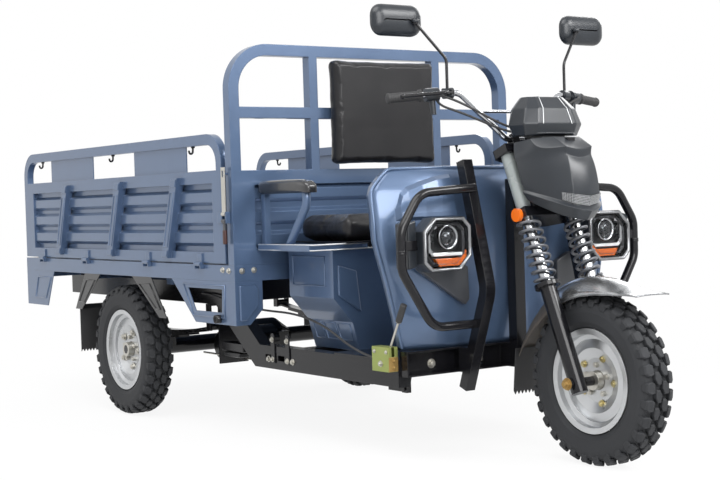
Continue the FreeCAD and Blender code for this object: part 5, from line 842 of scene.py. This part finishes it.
def makeLamps(s):
    def ring(grow, x):
        w, h, c = s["halfWide"] + grow, s["halfTall"] + grow, s["cut"] + grow * 0.5
        d = c * s["shortCut"]
        octagon = [(-w, -h + c), (-w + c, -h), (w - d, -h), (w, -h + d),
                   (w, h - c), (w - c, h), (-w + d, h), (-w, h - d)]
        return [at(x, s["y"] - u, s["z"] + v) for u, v in octagon]

    def rings(key):
        return [ring(grow, x) for grow, x in s[key]]

    def flat(name, key, mat, rise=0.0):
        x, depth, bevel, outline = s[key]
        return plate(name, outline, lambda u, v, w: at(x + w, s["y"] - u, s["z"] + (v + rise)),
                     depth, mat, bevel)

    eyeAt = at(0, s["y"] + s["eyeY"], s["z"] + s["eyeZ"])
    works = [bevelled(loft("lampShell", rings("shell"), charcoal, False), *s["shellBevel"]),
             loft("lampRim", rings("rim"), lampGreyAndRollShade, capped=False),
             loft("lampTrim", rings("trim"), greyPlastic, False, capped=False),
             turnedShape("lampBowl", s["bowl"], eyeAt, ahead, chromePlate, s["eyeSteps"]),
             flat("lampBracket", "bracket", chromePlate), flat("lampDay", "day", whiteLamp),
             flat("lampTurn", "turn", amber), flat("lampBezel", "bezel", charcoal),
             turnedShape("lampEye", s["eye"], eyeAt, ahead, lampEyeGlass, s["eyeSteps"])]
    works += [flat("lampSlat", "slat", charcoal, s["slatRise"] * k) for k in range(s["slats"])]
    cover = loft("lampCover", rings("cover"), clearLens, False)
    lamp = joinUp("headlampWorks", works)
    wear(bothSides(lamp, "headlampWorks"), "chassis", "dark_plastic", "headlamps")
    wear(bothSides(cover, "headlampCovers"), "chassis", "clear_lens", "headlamp_lenses")


makeLamps(lampSet)
print("headlamps made")


# control cables: smooth lines through the routes of their solids

cableSet = {
    "radius": 0.004, "steps": 12, "sides": 4,
    "bar": [[(1.7939, -0.3211, 1.2146), (1.8132, -0.3265, 1.2146), (1.8373, -0.2400, 1.1873),
             (1.880, -0.070, 1.096), (1.925, -0.070, 1.096)],
            [(1.7843, -0.2997, 1.2008), (1.7847, -0.2983, 1.1809), (1.8088, -0.2118, 1.1536),
             (1.880, -0.070, 1.082), (1.925, -0.070, 1.082)]],
    "shift": [(1.640, -0.474, 0.345), (1.546, -0.474, 0.345), (1.259, -0.4835, 0.470), (0.800, -0.474, 0.470),
              (0.500, -0.474, 0.517), (0.406, -0.474, 0.517), (0.406, -0.455, 0.517)],
}


def layCable(name, points, s, body, node):
    line = curveThrough(name, points, True, False, s["steps"])
    wire = evaluatedMesh(line)
    wear(thickened(line, s["radius"], s["sides"], blackRubber), body, "black_rubber", node)


for k, route in enumerate(cableSet["bar"]):
    for side, word in ((1, "Right"), (-1, "Left")):
        points = [at(x, y * side, z) for x, y, z in route]
        layCable(f"bar{word}Cable{k}", points, cableSet, "steering", "bar_cables")
layCable("shiftCable", [at(*v) for v in cableSet["shift"]], cableSet, "chassis", "shift_cable")
print("cables laid")


# mirrors, grips and arm pads

mirrorSet = {
    "x": 1.716, "y": 0.415, "z": 1.462, "half": (0.100, 0.052), "round": 0.040, "leastRound": 0.012,
    # shrinkage, distance ahead of the rim
    "shell": [(0.007, 0.003), (0.007, 0), (0.002, 0), (0, 0.003), (0.001, 0.014), (0.006, 0.022),
              (0.016, 0.029), (0.030, 0.033), (0.042, 0.034)],
    "glass": [(0.0072, 0.0035), (0.0072, 0.0015), (0.009, 0.0005)],
    "cupAt": (1.7595, 0.360, 1.453), "cupSteps": 24,
    "cup": [(0.0092, 0), (0.0115, 0), (0.0125, 0.001), (0.0125, 0.009), (0.0095, 0.0125), (0.002, 0.013)],
}
gripSet = {
    "end": (1.738, -0.466, 1.203), "bend": (1.806, -0.222, 1.222), "steps": 28,
    "cap": [(0.004, -0.004), (0.013, -0.004), (0.0165, -0.002), (0.0175, 0.003), (0.016, 0.006)],
    "ribs": 17, "ribbed": (0.008, 0.104), "rib": [(0.0147, 0), (0.0158, 0.25), (0.0158, 0.7), (0.0147, 0.95)],
    "flange": [(0.016, 0.106), (0.0205, 0.109), (0.0205, 0.115), (0.016, 0.118), (0.0112, 0.118)],
}
armSet = {
    "y": (0.505, 0.559), "z": (0.905, 0.955), "round": 0.62, "steps": 5, "fill": 0.95,
    # x, growth, drop
    "stations": [(1.030, 0.55, 0.0), (1.033, 0.85, 0.0), (1.042, 1.0, 0.0), (1.12, 1.0, 0.0),
                 (1.24, 1.0, 0.0), (1.318, 1.0, -0.002), (1.345, 0.97, -0.007),
                 (1.360, 0.86, -0.012), (1.3665, 0.66, -0.015), (1.368, 0.4, -0.016)],
}


def roundRect(halfWide, halfTall, radius, steps=6):
    out = []
    for cx, cy, start in ((1, 1, 0), (-1, 1, 90), (-1, -1, 180), (1, -1, 270)):
        for k in range(steps + 1):
            a = math.radians(start + 90 * k / steps)
            out.append((cx * (halfWide - radius) + radius * math.cos(a),
                        cy * (halfTall - radius) + radius * math.sin(a)))
    return out


def makeMirror(s, side, word):
    def rings(key):
        loops = []
        for shrink, forward in s[key]:
            w, h = (k - shrink for k in s["half"])
            outline = roundRect(w, h, max(s["round"] - shrink, s["leastRound"]))
            loops.append([at(s["x"] + forward, side * s["y"] + u, s["z"] + v) for u, v in outline])
        return loops

    shell = loft(word + "MirrorShell", rings("shell"), charcoal)
    glass = loft(word + "MirrorGlass", rings("glass"), mirrorGlass, False)
    x, y, z = s["cupAt"]
    cup = turnedShape(word + "MirrorCup", s["cup"], at(x, side * y, z), upright, charcoal, s["cupSteps"])
    mirror = joinUp(word + "Mirror", [shell, glass, cup])
    wear(mirror, word + "_mirror", "dark_plastic", word + "_mirror_head")


def makeGrip(s, side, body, node):
    end, bend = (at(x, y * -side, z) for x, y, z in (s["end"], s["bend"]))
    start, stop = s["ribbed"]
    pitch = (stop - start) / s["ribs"]
    profile = list(s["cap"])
    for k in range(s["ribs"]):
        profile += [(radius, start + (k + share) * pitch) for radius, share in s["rib"]]
    grip = turnedShape(node + "Rubber", profile + s["flange"], end, bend - end, blackRubber, s["steps"])
    wear(grip, body, "black_rubber", node)


def makeArmPads(s):
    midY, midZ = sum(s["y"]) / 2, sum(s["z"]) / 2
    halfY, halfZ = (s["y"][1] - s["y"][0]) / 2, (s["z"][1] - s["z"][0]) / 2
    loops = []
    for x, grow, drop in s["stations"]:
        corner = min(halfY, halfZ) * grow * s["round"]
        ring = roundRect(halfY * grow, halfZ * grow, corner, s["steps"])
        loops.append([at(x, -midY + u, max(s["z"][0], midZ + v + drop)) for u, v in ring])
    pair = bothSides(subdivided(loft("armPad", loops, glossBlack), 1), "armPads")
    wear(pair, "chassis", "leatherette", "armrest_pads")


makeMirror(mirrorSet, -1, "right")
makeMirror(mirrorSet, 1, "left")
makeGrip(gripSet, -1, "throttle", "throttle_grip")
makeGrip(gripSet, 1, "steering", "left_grip")
makeArmPads(armSet)
print("mirrors, grips and arm pads made")


# front shield: crowned sheet with edge beads, brows and lamp bezels

shieldSet = {
    "front": 1.782, "sweep": 0.074, "from": 0.235, "reach": 0.280, "power": 1.7, "wall": 0.003,
    "lip": 0.024, "bead": 0.0062, "beadProud": 0.001, "rows": 40, "columns": 40,
    # height, setback
    "lean": [(0.370, 0.030), (0.480, 0.012), (0.600, 0.002), (0.720, 0.0), (0.820, 0.006),
             (0.900, 0.022), (0.950, 0.042), (0.976, 0.060)],
    # height, half width
    "half": [(0.370, 0.425), (0.480, 0.452), (0.600, 0.482), (0.700, 0.506), (0.735, 0.513), (0.780, 0.515),
             (0.885, 0.514), (0.912, 0.504), (0.935, 0.484), (0.955, 0.462), (0.968, 0.444), (0.976, 0.420)],
    "edge": [(0.425, 0.376), (0.462, 0.525), (0.506, 0.700), (0.514, 0.735), (0.514, 0.800), (0.514, 0.885),
             (0.508, 0.908), (0.462, 0.954), (0.436, 0.974), (0.400, 0.974), (0.250, 0.974), (0.0, 0.974)],
    "brow": [(-0.432, 0.862), (-0.420, 0.893), (-0.399, 0.911), (-0.348, 0.929), (-0.289, 0.945), (-0.236, 0.952)],
    "browFoot": 0.80, "browSteps": 8, "lift": 0.016, "slope": 0.012,
    "bezel": [(-0.420, 0.680), (-0.404, 0.636), (-0.214, 0.512), (-0.197, 0.530), (-0.200, 0.640), (-0.260, 0.668)],
    "bezelX": 1.777, "bezelDepth": 0.024, "bezelBevel": 0.004,
}


def between(table, value):
    for (a, low), (b, high) in zip(table, table[1:]):
        if value <= b:
            return low + (high - low) * max(0.0, value - a) / (b - a)
    return table[-1][1]


def onShield(s, y, z, proud=0.0):
    past = max(0.0, abs(y) - s["from"]) / s["reach"]
    return at(s["front"] - between(s["lean"], z) - s["sweep"] * past ** s["power"] + proud, y, z)


def makeShield(s):
    low, high = s["half"][0][0], s["half"][-1][0]
    shares = [-1 + 2 * j / s["columns"] for j in range(s["columns"] + 1)]
    rows = []
    for k in range(s["rows"] + 1):
        z = low + (high - low) * k / s["rows"]
        half = between(s["half"], z)
        rows.append([onShield(s, -half, z, -s["lip"])] + [onShield(s, half * t, z) for t in shares]
                    + [onShield(s, half, z, -s["lip"])])
    shell = turnedOut(sheet("frontShield", rows, bluePaint), lambda f: f.normal.x)
    wear(settle(walled(shell, s["wall"])), "chassis", "body_paint", "front_shield")

    route = [onShield(s, -y, z, s["beadProud"]) for y, z in s["edge"]]
    bead = tube("shieldBead", route, s["bead"], bluePaint, sides=4, curved=True)
    wear(bothSides(bead, "shieldBeads"), "chassis", "body_paint")

    first, last = s["brow"][0], s["brow"][-1]
    columns = [(first[0] - s["slope"], first[1] - s["slope"], 0)]
    columns += [(y, z, s["lift"]) for y, z in s["brow"]] + [(last[0] + s["slope"], last[1], 0)]
    lines = []
    for y, top, lift in columns:
        low, high = s["browFoot"] + s["slope"], top - s["slope"]
        raised = [(low + (high - low) * k / s["browSteps"], lift) for k in range(s["browSteps"] + 1)]
        lines.append([onShield(s, y, z, up) for z, up in [(s["browFoot"], 0)] + raised + [(top, 0)]])
    brow = sheet("shieldBrow", lines, bluePaint, False)
    wear(bothSides(brow, "shieldBrows"), "chassis", "body_paint")
    bezel = plate("lampBezel", s["bezel"], onFront(s["bezelX"]), s["bezelDepth"], greyPlastic, s["bezelBevel"])
    wear(bothSides(bezel, "lampBezels"), "chassis", "dark_plastic")


makeShield(shieldSet)


# pressed relief on skirts, seat barrel and drop sides

pressSet = {
    "skirt": [[(-0.850, 0.562), (-0.700, 0.562), (-0.766, 0.466), (-0.892, 0.466)],
              [(-0.300, 0.562), (-0.212, 0.562), (-0.332, 0.464), (-0.386, 0.464)],
              [(0.225, 0.562), (0.322, 0.562), (0.412, 0.464), (0.372, 0.464)],
              [(0.618, 0.574), (0.942, 0.574), (0.936, 0.456), (0.690, 0.456)]],
    "skirtSide": 0.656, "skirtBead": 0.0042, "skirtFaceX": 1.018,
    "skirtFace": [(-0.642, 0.576), (-0.572, 0.576), (-0.561, 0.565),
                  (-0.561, 0.497), (-0.612, 0.446), (-0.642, 0.446)],
    "faceDepth": 0.009, "faceBevel": 0.005, "barrelFrontX": 1.352,
    "barrelFront": [(-0.432, 0.648), (-0.352, 0.624), (-0.336, 0.476), (-0.432, 0.540)],
    "barrelSide": [(1.088, 0.676), (1.300, 0.676), (1.300, 0.572), (1.088, 0.572)],
    "barrelY": 0.449, "barrelBead": 0.004,
    "vents": [(1.092, 1.150), (1.166, 1.236), (1.252, 1.330)], "ventZ": (0.372, 0.432), "ventBead": 0.0035,
    "footY": 0.343, "footZ": 0.335, "footRise": 0.276,
}
strutSet = {
    "x": (-0.594, -0.043, 0.470), "wide": 0.052, "lean": 0.103, "low": 0.670, "high": 0.980, "face": 0.674,
    # share of the width, height
    "frame": [(0.22, 0.715), (0.78, 0.715), (0.78, 0.925), (0.22, 0.925)], "bead": 0.0028,
    "foot": [(0.08, 0.676), (0.92, 0.676), (0.92, 0.700), (0.08, 0.700)],
    "top": [(0.08, 0.946), (0.92, 0.946), (0.92, 0.974), (0.08, 0.974)],
    "sunk": 0.001, "depth": 0.0045, "bevel": 0.0015,
}


def makePressings(s):
    items = [tube("skirtBead", [at(x, -s["skirtSide"], z) for x, z in loop], s["skirtBead"],
                  skirtPaint, cyclic=True) for loop in s["skirt"]]
    items.append(plate("skirtFace", s["skirtFace"], onFront(s["skirtFaceX"]), s["faceDepth"],
                       bluePaint, s["faceBevel"]))
    wear(bothSides(joinUp("skirtPressings", items), "skirtPressings"), "chassis", "body_paint")

    items = [plate("barrelFront", s["barrelFront"], onFront(s["barrelFrontX"]), s["faceDepth"],
                   bluePaint, s["faceBevel"]),
             tube("barrelSide", [at(x, -s["barrelY"], z) for x, z in s["barrelSide"]],
                  s["barrelBead"], bluePaint, cyclic=True)]
    low, high = s["ventZ"]
    for rear, front in s["vents"]:
        loop = [at(x, -(s["footY"] + (z - s["footZ"]) * s["footRise"]), z)
                for x, z in ((rear, low), (front, low), (front, high), (rear, high))]
        items.append(tube("barrelVent", loop, s["ventBead"], bluePaint, cyclic=True))
    wear(bothSides(joinUp("barrelPressings", items), "barrelPressings"), "chassis", "body_paint")


def strutOutline(s, x, key):
    # the struts lean forward as they rise
    leans = [s["lean"] * (z - s["low"]) / (s["high"] - s["low"]) for share, z in s[key]]
    return [(x + lean + s["wide"] * share, z) for lean, (share, z) in zip(leans, s[key])]


def makeStrutFrames(s):
    items = []
    for x in s["x"]:
        loop = [at(u, -s["face"], z) for u, z in strutOutline(s, x, "frame")]
        items.append(tube("strutFrame", loop, s["bead"], bluePaint, cyclic=True))
        for name, key in (("strutFoot", "foot"), ("strutTop", "top")):
            items.append(plate(name, strutOutline(s, x, key), onRight(s["sunk"] - s["face"]),
                               s["depth"], bluePaint, s["bevel"]))
    wearApart(joinUp("rightStrutFrames", items), "leftStrutFrames", "side", "body_paint")


makePressings(pressSet)
makeStrutFrames(strutSet)
print("pressings made")


# small fittings

hookSet = {
    "x": (-0.787, -0.016, 0.701), "y": -0.640, "top": 1.098, "wire": 0.004,
    "line": [(0, 0), (0, -0.016), (-0.002, -0.026), (-0.010, -0.030), (-0.017, -0.024), (-0.017, -0.016)],
    "nut": [(0.001, 0), (0.008, 0), (0.008, 0.006), (0.001, 0.006)], "nutDown": 0.007,
}
fittingSet = {
    "platform": [(1.395, 0.300, 0.7225), (1.395, 0.556, 0.7225), (1.032, 0.558, 0.7225)],
    "edges": [(0, 0, 0.0028), (0.001, 0.019, 0.0022)],  # further out, lower, wire
    "stubAt": (0.898, -0.640, 0.450), "collarAt": (1.860, -0.520, 0.700), "steps": 28,
    "stub": [(0.011, 0), (0.016, 0), (0.016, 0.036), (0.014, 0.037), (0.012, 0.037), (0.011, 0.008), (0.002, 0.008)],
    "collar": [(0.0152, -0.007), (0.0168, -0.006), (0.0168, -0.001), (0.0158, 0),
               (0.0168, 0.001), (0.0168, 0.006), (0.0152, 0.007)],
    "tubeEnds": [((0.535, -0.452, 0.292), (0.705, -0.40, 0.326)),
                 ((0.555, -0.452, 0.270), (0.675, -0.40, 0.288))], "tubeBevel": 0.004,
    "plates": (0.940, 1.044), "rail": -0.455, "plateWall": 0.005, "plateBevel": 0.0012,
    "plate": [(-0.014, 0.272), (0.014, 0.272), (0.014, 0.372), (0.008, 0.384), (-0.008, 0.384), (-0.014, 0.372)],
}
boltSet = {  # x, y, z, facing, size
    "frame": [(0.933, -0.656, 0.632, rightward, 0.0085), (0.978, -0.656, 0.630, rightward, 0.0085),
              (1.019, -0.625, 0.629, ahead, 0.0085), (1.019, -0.575, 0.630, ahead, 0.0085),
              (0.940, -0.460, 0.286, rightward, 0.008), (0.940, -0.460, 0.360, rightward, 0.008),
              (1.044, -0.460, 0.286, rightward, 0.008), (1.044, -0.460, 0.360, rightward, 0.008),
              (0.905, -0.4555, 0.285, rightward, 0.009), (1.075, -0.4555, 0.285, rightward, 0.009),
              (1.742, -0.324, 0.320, ahead, 0.012), (1.742, -0.12, 0.320, ahead, 0.012)],
    "box": [(1.690, -0.4935, 0.330, rightward, 0.008), (1.655, -0.4935, 0.370, rightward, 0.005),
            (1.722, -0.4935, 0.370, rightward, 0.005)],
    "boxFace": [(1.7365, -0.474, 0.342, ahead, 0.006), (1.7365, -0.474, 0.318, ahead, 0.006)],
    "cover": [(-0.4925, 0.305), (-0.4555, 0.305), (-0.4555, 0.353), (-0.4925, 0.353)],
    "coverX": 1.7338, "coverWall": 0.0026, "coverBevel": 0.0008,
}
knobSet = {
    "pivot": (1.690, -0.474, 0.330), "top": (1.802, -0.474, 0.528), "down": 0.066, "steps": 24,
    "foot": [(0.0045, -0.002), (0.0085, -0.002), (0.0105, 0.002)],
    "rib": [(0.0112, 0.006), (0.0112, 0.0105), (0.0104, 0.0125)], "ribs": 6, "pitch": 0.009,
    "crown": [(0.0114, 0.062), (0.0108, 0.0665), (0.006, 0.068), (0.001, 0.0682)],
}
toggleSet = {
    "x": 0.985, "y": -0.672, "section": (0.0095, 0.0062, 0.005, 3),
    "stations": [(0.7275, 0.7), (0.729, 0.95), (0.733, 1.0), (0.775, 1.0), (0.779, 0.92)],  # z, growth
}


def makeHooks(s):
    hooks = []
    for x in s["x"]:
        line = [at(x, s["y"] + y, s["top"] + z) for y, z in s["line"]]
        hooks.append(tube("ropeHook", line, s["wire"], blackGloss, curved=True))
        hooks.append(turnedShape("hookNut", s["nut"], at(x, s["y"], s["top"] - s["nutDown"]), upright,
                                 blackGloss, 6, False))
    wearApart(joinUp("rightRopeHooks", hooks), "leftRopeHooks", "side", "black_frame")


def makeFittings(s):
    # silver lines along the blue platform's folded edges: painted highlights on the body paint
    edges = [tube("platformEdgeHighlight", [at(x, -y - out, z - down) for x, y, z in s["platform"]], wire, silverPaint)
             for out, down, wire in s["edges"]]
    wear(bothSides(joinUp("platformEdgeHighlights", edges), "platformEdgeHighlights"), "chassis", "body_paint")

    items = [turnedShape("skirtStub", s["stub"], at(*s["stubAt"]), rightward, blackGloss, s["steps"]),
             turnedShape("loopCollar", s["collar"], at(*s["collarAt"]), upright, blackGloss, s["steps"])]
    items += [brick("tubeEnd", low, high, blackGloss, s["tubeBevel"]) for low, high in s["tubeEnds"]]
    items += [plate("railHanger", [(x + u, z) for u, z in s["plate"]], onRight(s["rail"]), s["plateWall"],
                    blackGloss, s["plateBevel"]) for x in s["plates"]]
    wear(bothSides(joinUp("frameFittings", items), "frameFittings"), "chassis", "black_frame")


def makeBolts(s):
    def heads(name, key, mat):
        return bolts(name, [(at(*place), way, size) for *place, way, size in s[key]], mat)

    wear(bothSides(heads("frameBolts", "frame", zincPlate), "frameBolts"), "chassis", "zinc_plate")
    wear(heads("boxBolts", "box", zincPlate), "chassis", "zinc_plate")
    wear(heads("boxFaceBolts", "boxFace", rustZinc), "chassis", "zinc_plate")
    cover = plate("boxFace", s["cover"], onFront(s["coverX"]), s["coverWall"], rustZinc, s["coverBevel"])
    wear(cover, "chassis", "zinc_plate")


def makeKnob(s):
    top = at(*s["top"])
    way = (top - at(*s["pivot"])).normalized()
    ribs = [(radius, z + s["pitch"] * k) for k in range(s["ribs"]) for radius, z in s["rib"]]
    knob = turnedShape("shiftKnob", s["foot"] + ribs + s["crown"], top - way * s["down"], way,
                       blackRubber, s["steps"])
    wear(knob, "gear_lever", "black_rubber")


def makeToggleGrips(s):
    section = roundRect(*s["section"])
    loops = [[at(s["x"] + u * grow, s["y"] + v * grow, z) for u, v in section] for z, grow in s["stations"]]
    wearApart(loft("rightToggleGrip", loops, redGrip), "leftToggleGrip", "toggle", "dark_plastic")


makeHooks(hookSet)
makeFittings(fittingSet)
makeBolts(boltSet)
makeKnob(knobSet)
makeToggleGrips(toggleSet)
print("fittings made")


# tyres: carcass with two sidewall ribs, and staggered tread blocks round it

tyreSet = {
    "pitches": 30, "crown": 0.2725, "sunk": 0.2545, "flat": 0.032, "half": 0.0577, "fall": 0.0125,
    # half sections: distance from the middle plane, radius
    "carcass": [(0.044, 0.1705), (0.0505, 0.180), (0.0530, 0.1865), (0.0545, 0.1875), (0.0552, 0.1895),
                (0.0555, 0.195), (0.0572, 0.210), (0.0574, 0.2195), (0.0577, 0.2215), (0.0574, 0.2235),
                (0.0566, 0.232), (0.054, 0.244), (0.048, 0.2525), (0.030, 0.2565)],
    "inner": [(0.030, 0.245), (0.045, 0.210), (0.038, 0.172)],
    "outerMiddle": (0.0, 0.257), "innerMiddle": (0.0, 0.249), "steps": 120,
    # share of a pitch, outline
    "blocks": [(0.0, [(-0.022, -0.027), (0.004, -0.027), (0.020, -0.018),
                      (0.020, -0.004), (-0.004, -0.001), (-0.022, -0.010)]),
               (0.5, [(-0.020, 0.018), (-0.020, 0.004), (0.004, 0.001),
                      (0.022, 0.010), (0.022, 0.027), (-0.004, 0.027)]),
               (0.5, [(-0.016, -0.0565), (0.012, -0.0565), (0.020, -0.045),
                      (0.017, -0.0305), (-0.014, -0.0305), (-0.020, -0.042)]),
               (0.0, [(-0.020, 0.042), (-0.014, 0.0305), (0.017, 0.0305),
                      (0.020, 0.045), (0.012, 0.0565), (-0.016, 0.0565)])],
    "levels": [(1.06, None), (1.0, 0.003), (0.88, 0.0)],  # growth, depth below the top, None at the foot
    "bevel": (0.0012, 1, 40),
    "lug": [(-0.013, 0.238), (0.010, 0.238), (0.014, 0.259), (-0.017, 0.259)], "lugFace": (0.050, 0.0577),
    "lugs": [(-1, 0.5), (1, 0.0)],  # side, share of a pitch
    "wheels": [("front", "front_wheel", wheelbase, 0.0), ("rightRear", "right_rear_wheel", 0.0, -0.584),
               ("leftRear", "left_rear_wheel", 0.0, 0.584)],
}


def roundTree():
    # copies of the given mesh turned about the Y axis
    g, i, o = newTree("aroundAxle", Count="Int", Material="Material")
    spots = addNode(g, "GeometryNodePoints")
    index = addNode(g, "GeometryNodeInputIndex")
    share = addNode(g, "ShaderNodeMath", operation="DIVIDE")
    angle = addNode(g, "ShaderNodeMath", {1: 2 * math.pi}, operation="MULTIPLY")
    turn = addNode(g, "ShaderNodeCombineXYZ")
    put = addNode(g, "GeometryNodeInstanceOnPoints")
    connect(g, (i.outputs["Count"], spots.inputs["Count"]), (index.outputs[0], share.inputs[0]),
            (i.outputs["Count"], share.inputs[1]), (share.outputs[0], angle.inputs[0]),
            (angle.outputs[0], turn.inputs["Y"]), (spots.outputs[0], put.inputs["Points"]),
            (i.outputs["Geometry"], put.inputs["Instance"]), (turn.outputs[0], put.inputs["Rotation"]))
    return closeTree(g, i, o, put.outputs[0])


def treadTop(s, y):
    past = max(0.0, abs(y) - s["flat"]) / (s["half"] - s["flat"])
    return s["crown"] - s["fall"] * past ** 2


def rounded(angle, radius, y):
    return Vector((radius * math.sin(angle), y, radius * math.cos(angle)))


def treadBlock(s, share, outline):
    start = share * 2 * math.pi / s["pitches"]
    cu, cv = (sum(p[k] for p in outline) / len(outline) for k in (0, 1))
    loops = []
    for grow, down in s["levels"]:
        loop = []
        for u, v in outline:
            y = max(-s["half"], min(s["half"], cv + (v - cv) * grow))
            radius = s["sunk"] if down is None else treadTop(s, y) - down
            loop.append(rounded(start + (cu + (u - cu) * grow) / s["crown"], radius, y))
        loops.append(loop)
    return loft("treadBlock", loops, tyreRubber, False)


def sideLug(s, side, share):
    start = share * 2 * math.pi / s["pitches"]
    loops = [[rounded(start + u / s["crown"], r, side * y) for u, r in s["lug"]] for y in s["lugFace"]]
    return loft("sideLug", loops, tyreRubber, False)


def makeTyres(s):
    outer, inner = s["carcass"], s["inner"]
    section = [(-y, r) for y, r in outer] + [s["outerMiddle"]] + outer[::-1]
    section += inner[::-1] + [s["innerMiddle"]] + [(-y, r) for y, r in inner]
    angles = [2 * math.pi * k / s["steps"] for k in range(s["steps"] + 1)]
    rings = [[rounded(a, r, y) for y, r in section] for a in angles]
    carcass = loft("carcass", rings, tyreRubber, capped=False)
    pitch = [treadBlock(s, *block) for block in s["blocks"]] + [sideLug(s, *lug) for lug in s["lugs"]]
    one = bevelled(joinUp("treadPitch", pitch), *s["bevel"])
    tread = growTree("tread", roundTree(), {"Count": s["pitches"], "Material": tyreRubber}, one.data)
    bpy.data.objects.remove(one)
    whole = joinUp("wholeTyre", [carcass, tread])
    for word, body, x, y in s["wheels"]:
        mesh = whole.data.copy()
        mesh.transform(Matrix.Translation(at(x, y, wheelRadius)))
        wear(linked(word + "TreadTyre", mesh), body, "tyre_rubber", body.replace("wheel", "tyre"))
    bpy.data.objects.remove(whole)


makeTyres(tyreSet)
print("tyres made")


# wheel nuts on the pressed discs

nutSet = {"count": 5, "phase": 0.3, "radius": 0.076, "from": 0.09, "front": 0.0095, "rear": 0.0125}


def faceAt(node, start, way):
    # where a straight line meets a solid's skin
    obj = nodes[node]
    back = obj.matrix_world.inverted()
    hit, place, normal, index = obj.ray_cast(back @ start, back.to_3x3() @ way)
    return obj.matrix_world @ place if hit else start


def makeNuts(s):
    for word, body, x, y in tyreSet["wheels"]:
        size, mat = (s["front"], brassZinc) if y == 0 else (s["rear"], zincPlate)
        for side, sideWord in ((-1, "Right"), (1, "Left")):
            if side * y < 0:  # a rear wheel has nuts on its outer face only
                continue
            out = Vector((0, side, 0))
            spots = []
            for k in range(s["count"]):
                angle = 2 * math.pi * (k + s["phase"]) / s["count"]
                spot = at(x, y, wheelRadius) + rounded(angle, s["radius"], side * s["from"])
                spots.append((faceAt(body.replace("wheel", "rim"), spot, -out), out, size))
            wear(bolts(f"{word}Nuts{sideWord}", spots, mat), body, "zinc_plate")


makeNuts(nutSet)


# front fender: polished arch with deep sides, the dark guard behind it and its flap

fenderSet = {
    "half": 0.0705, "power": 2.6, "wall": 0.002, "roll": 0.0024, "across": 16, "steps": 40,
    # degrees round the axle, ridge radius, drop at the sides
    "steel": [(49.6, 0.372, 0.004), (55, 0.357, 0.012), (62, 0.344, 0.026), (72, 0.336, 0.042),
              (86, 0.333, 0.057), (101, 0.335, 0.068), (128, 0.335, 0.072)],
    "guard": [(124, 0.331, 0.066), (140, 0.334, 0.062), (155, 0.342, 0.050), (169, 0.352, 0.036)],
    "flap": [(1.878, 0.358), (1.863, 0.214)], "flapWall": 0.004, "flapBevel": 0.0008,
    "teeth": 9, "tooth": 0.014,
}


def archRows(s, stations):
    ridges = [(a, r) for a, r, d in stations]
    drops = [(a, d) for a, r, d in stations]
    start, stop = ridges[0][0], ridges[-1][0]
    shares = [-1 + 2 * j / s["across"] for j in range(s["across"] + 1)]
    rows = []
    for k in range(s["steps"] + 1):
        degrees = start + (stop - start) * k / s["steps"]
        ridge, drop, a = between(ridges, degrees), between(drops, degrees), math.radians(degrees)
        row = []
        for t in shares:
            radius = ridge - drop * abs(t) ** s["power"]
            row.append(at(wheelbase + radius * math.cos(a), s["half"] * t, wheelRadius + radius * math.sin(a)))
        rows.append(row)
    return rows


def archSheet(name, s, rows, mat):
    arch = turnedOut(sheet(name, rows, mat), lambda f: (f.center - frontAxle).dot(f.normal))
    return settle(walled(arch, s["wall"]))


def makeFender(s):
    rows = archRows(s, s["steel"])
    arch = archSheet("fenderArch", s, rows, polishedSteel)
    edge = [row[0] for row in reversed(rows)] + rows[0][1:-1] + [row[-1] for row in rows]
    # the rolled edge takes a darker grey than the polished arch: painted shade along the fender's edge
    roll = tube("fenderRollShade", edge, s["roll"], lampGreyAndRollShade)
    wear(joinUp("fenderArch", [arch, roll]), "fork_lower", "silver_rim", "front_fender")
    guard = archSheet("fenderGuard", s, archRows(s, s["guard"]), guardPlastic)
    wear(guard, "fork_lower", "dark_plastic")

    (topX, topZ), (footX, footZ) = s["flap"]
    run = math.hypot(footX - topX, footZ - topZ)
    down = Vector((footX - topX, 0, footZ - topZ)) / run
    outline = [(-s["half"], 0), (-s["half"], run)]
    for k in range(s["teeth"]):
        outline.append((s["half"] * (-1 + (2 * k + 1) / s["teeth"]), run + s["tooth"]))
        outline.append((s["half"] * (-1 + (2 * k + 2) / s["teeth"]), run))
    outline.append((s["half"], 0))
    flap = plate("guardFlap", outline, lambda u, v, w: at(topX, u, topZ) + down * v + Vector((w, 0, 0)),
                 s["flapWall"], blackRubber, s["flapBevel"])
    wear(flap, "fork_lower", "black_rubber", "fender_flap")


makeFender(fenderSet)
print("fender made")


# plated nuts on the front axle's ends

axleNutSet = {"out": 0.20, "size": 0.015, "missed": 1e-4}
axleBodies = {"front_hub": "front_wheel", "fork_sliders": "fork_lower"}


def makeAxleNuts(s):
    for side, word in ((-1, "right"), (1, "left")):
        out = Vector((0, side, 0))
        start = frontAxle + out * s["out"]
        hits = [(abs(faceAt(node, start, -out).y), node) for node in axleBodies]
        reach, node = max(h for h in hits if h[0] < s["out"] - s["missed"])
        nut = bolts(word + "AxleNut", [(frontAxle + out * reach, out, s["size"])], rustZinc)
        wear(nut, axleBodies[node], "zinc_plate")


makeAxleNuts(axleNutSet)
print("nuts made")
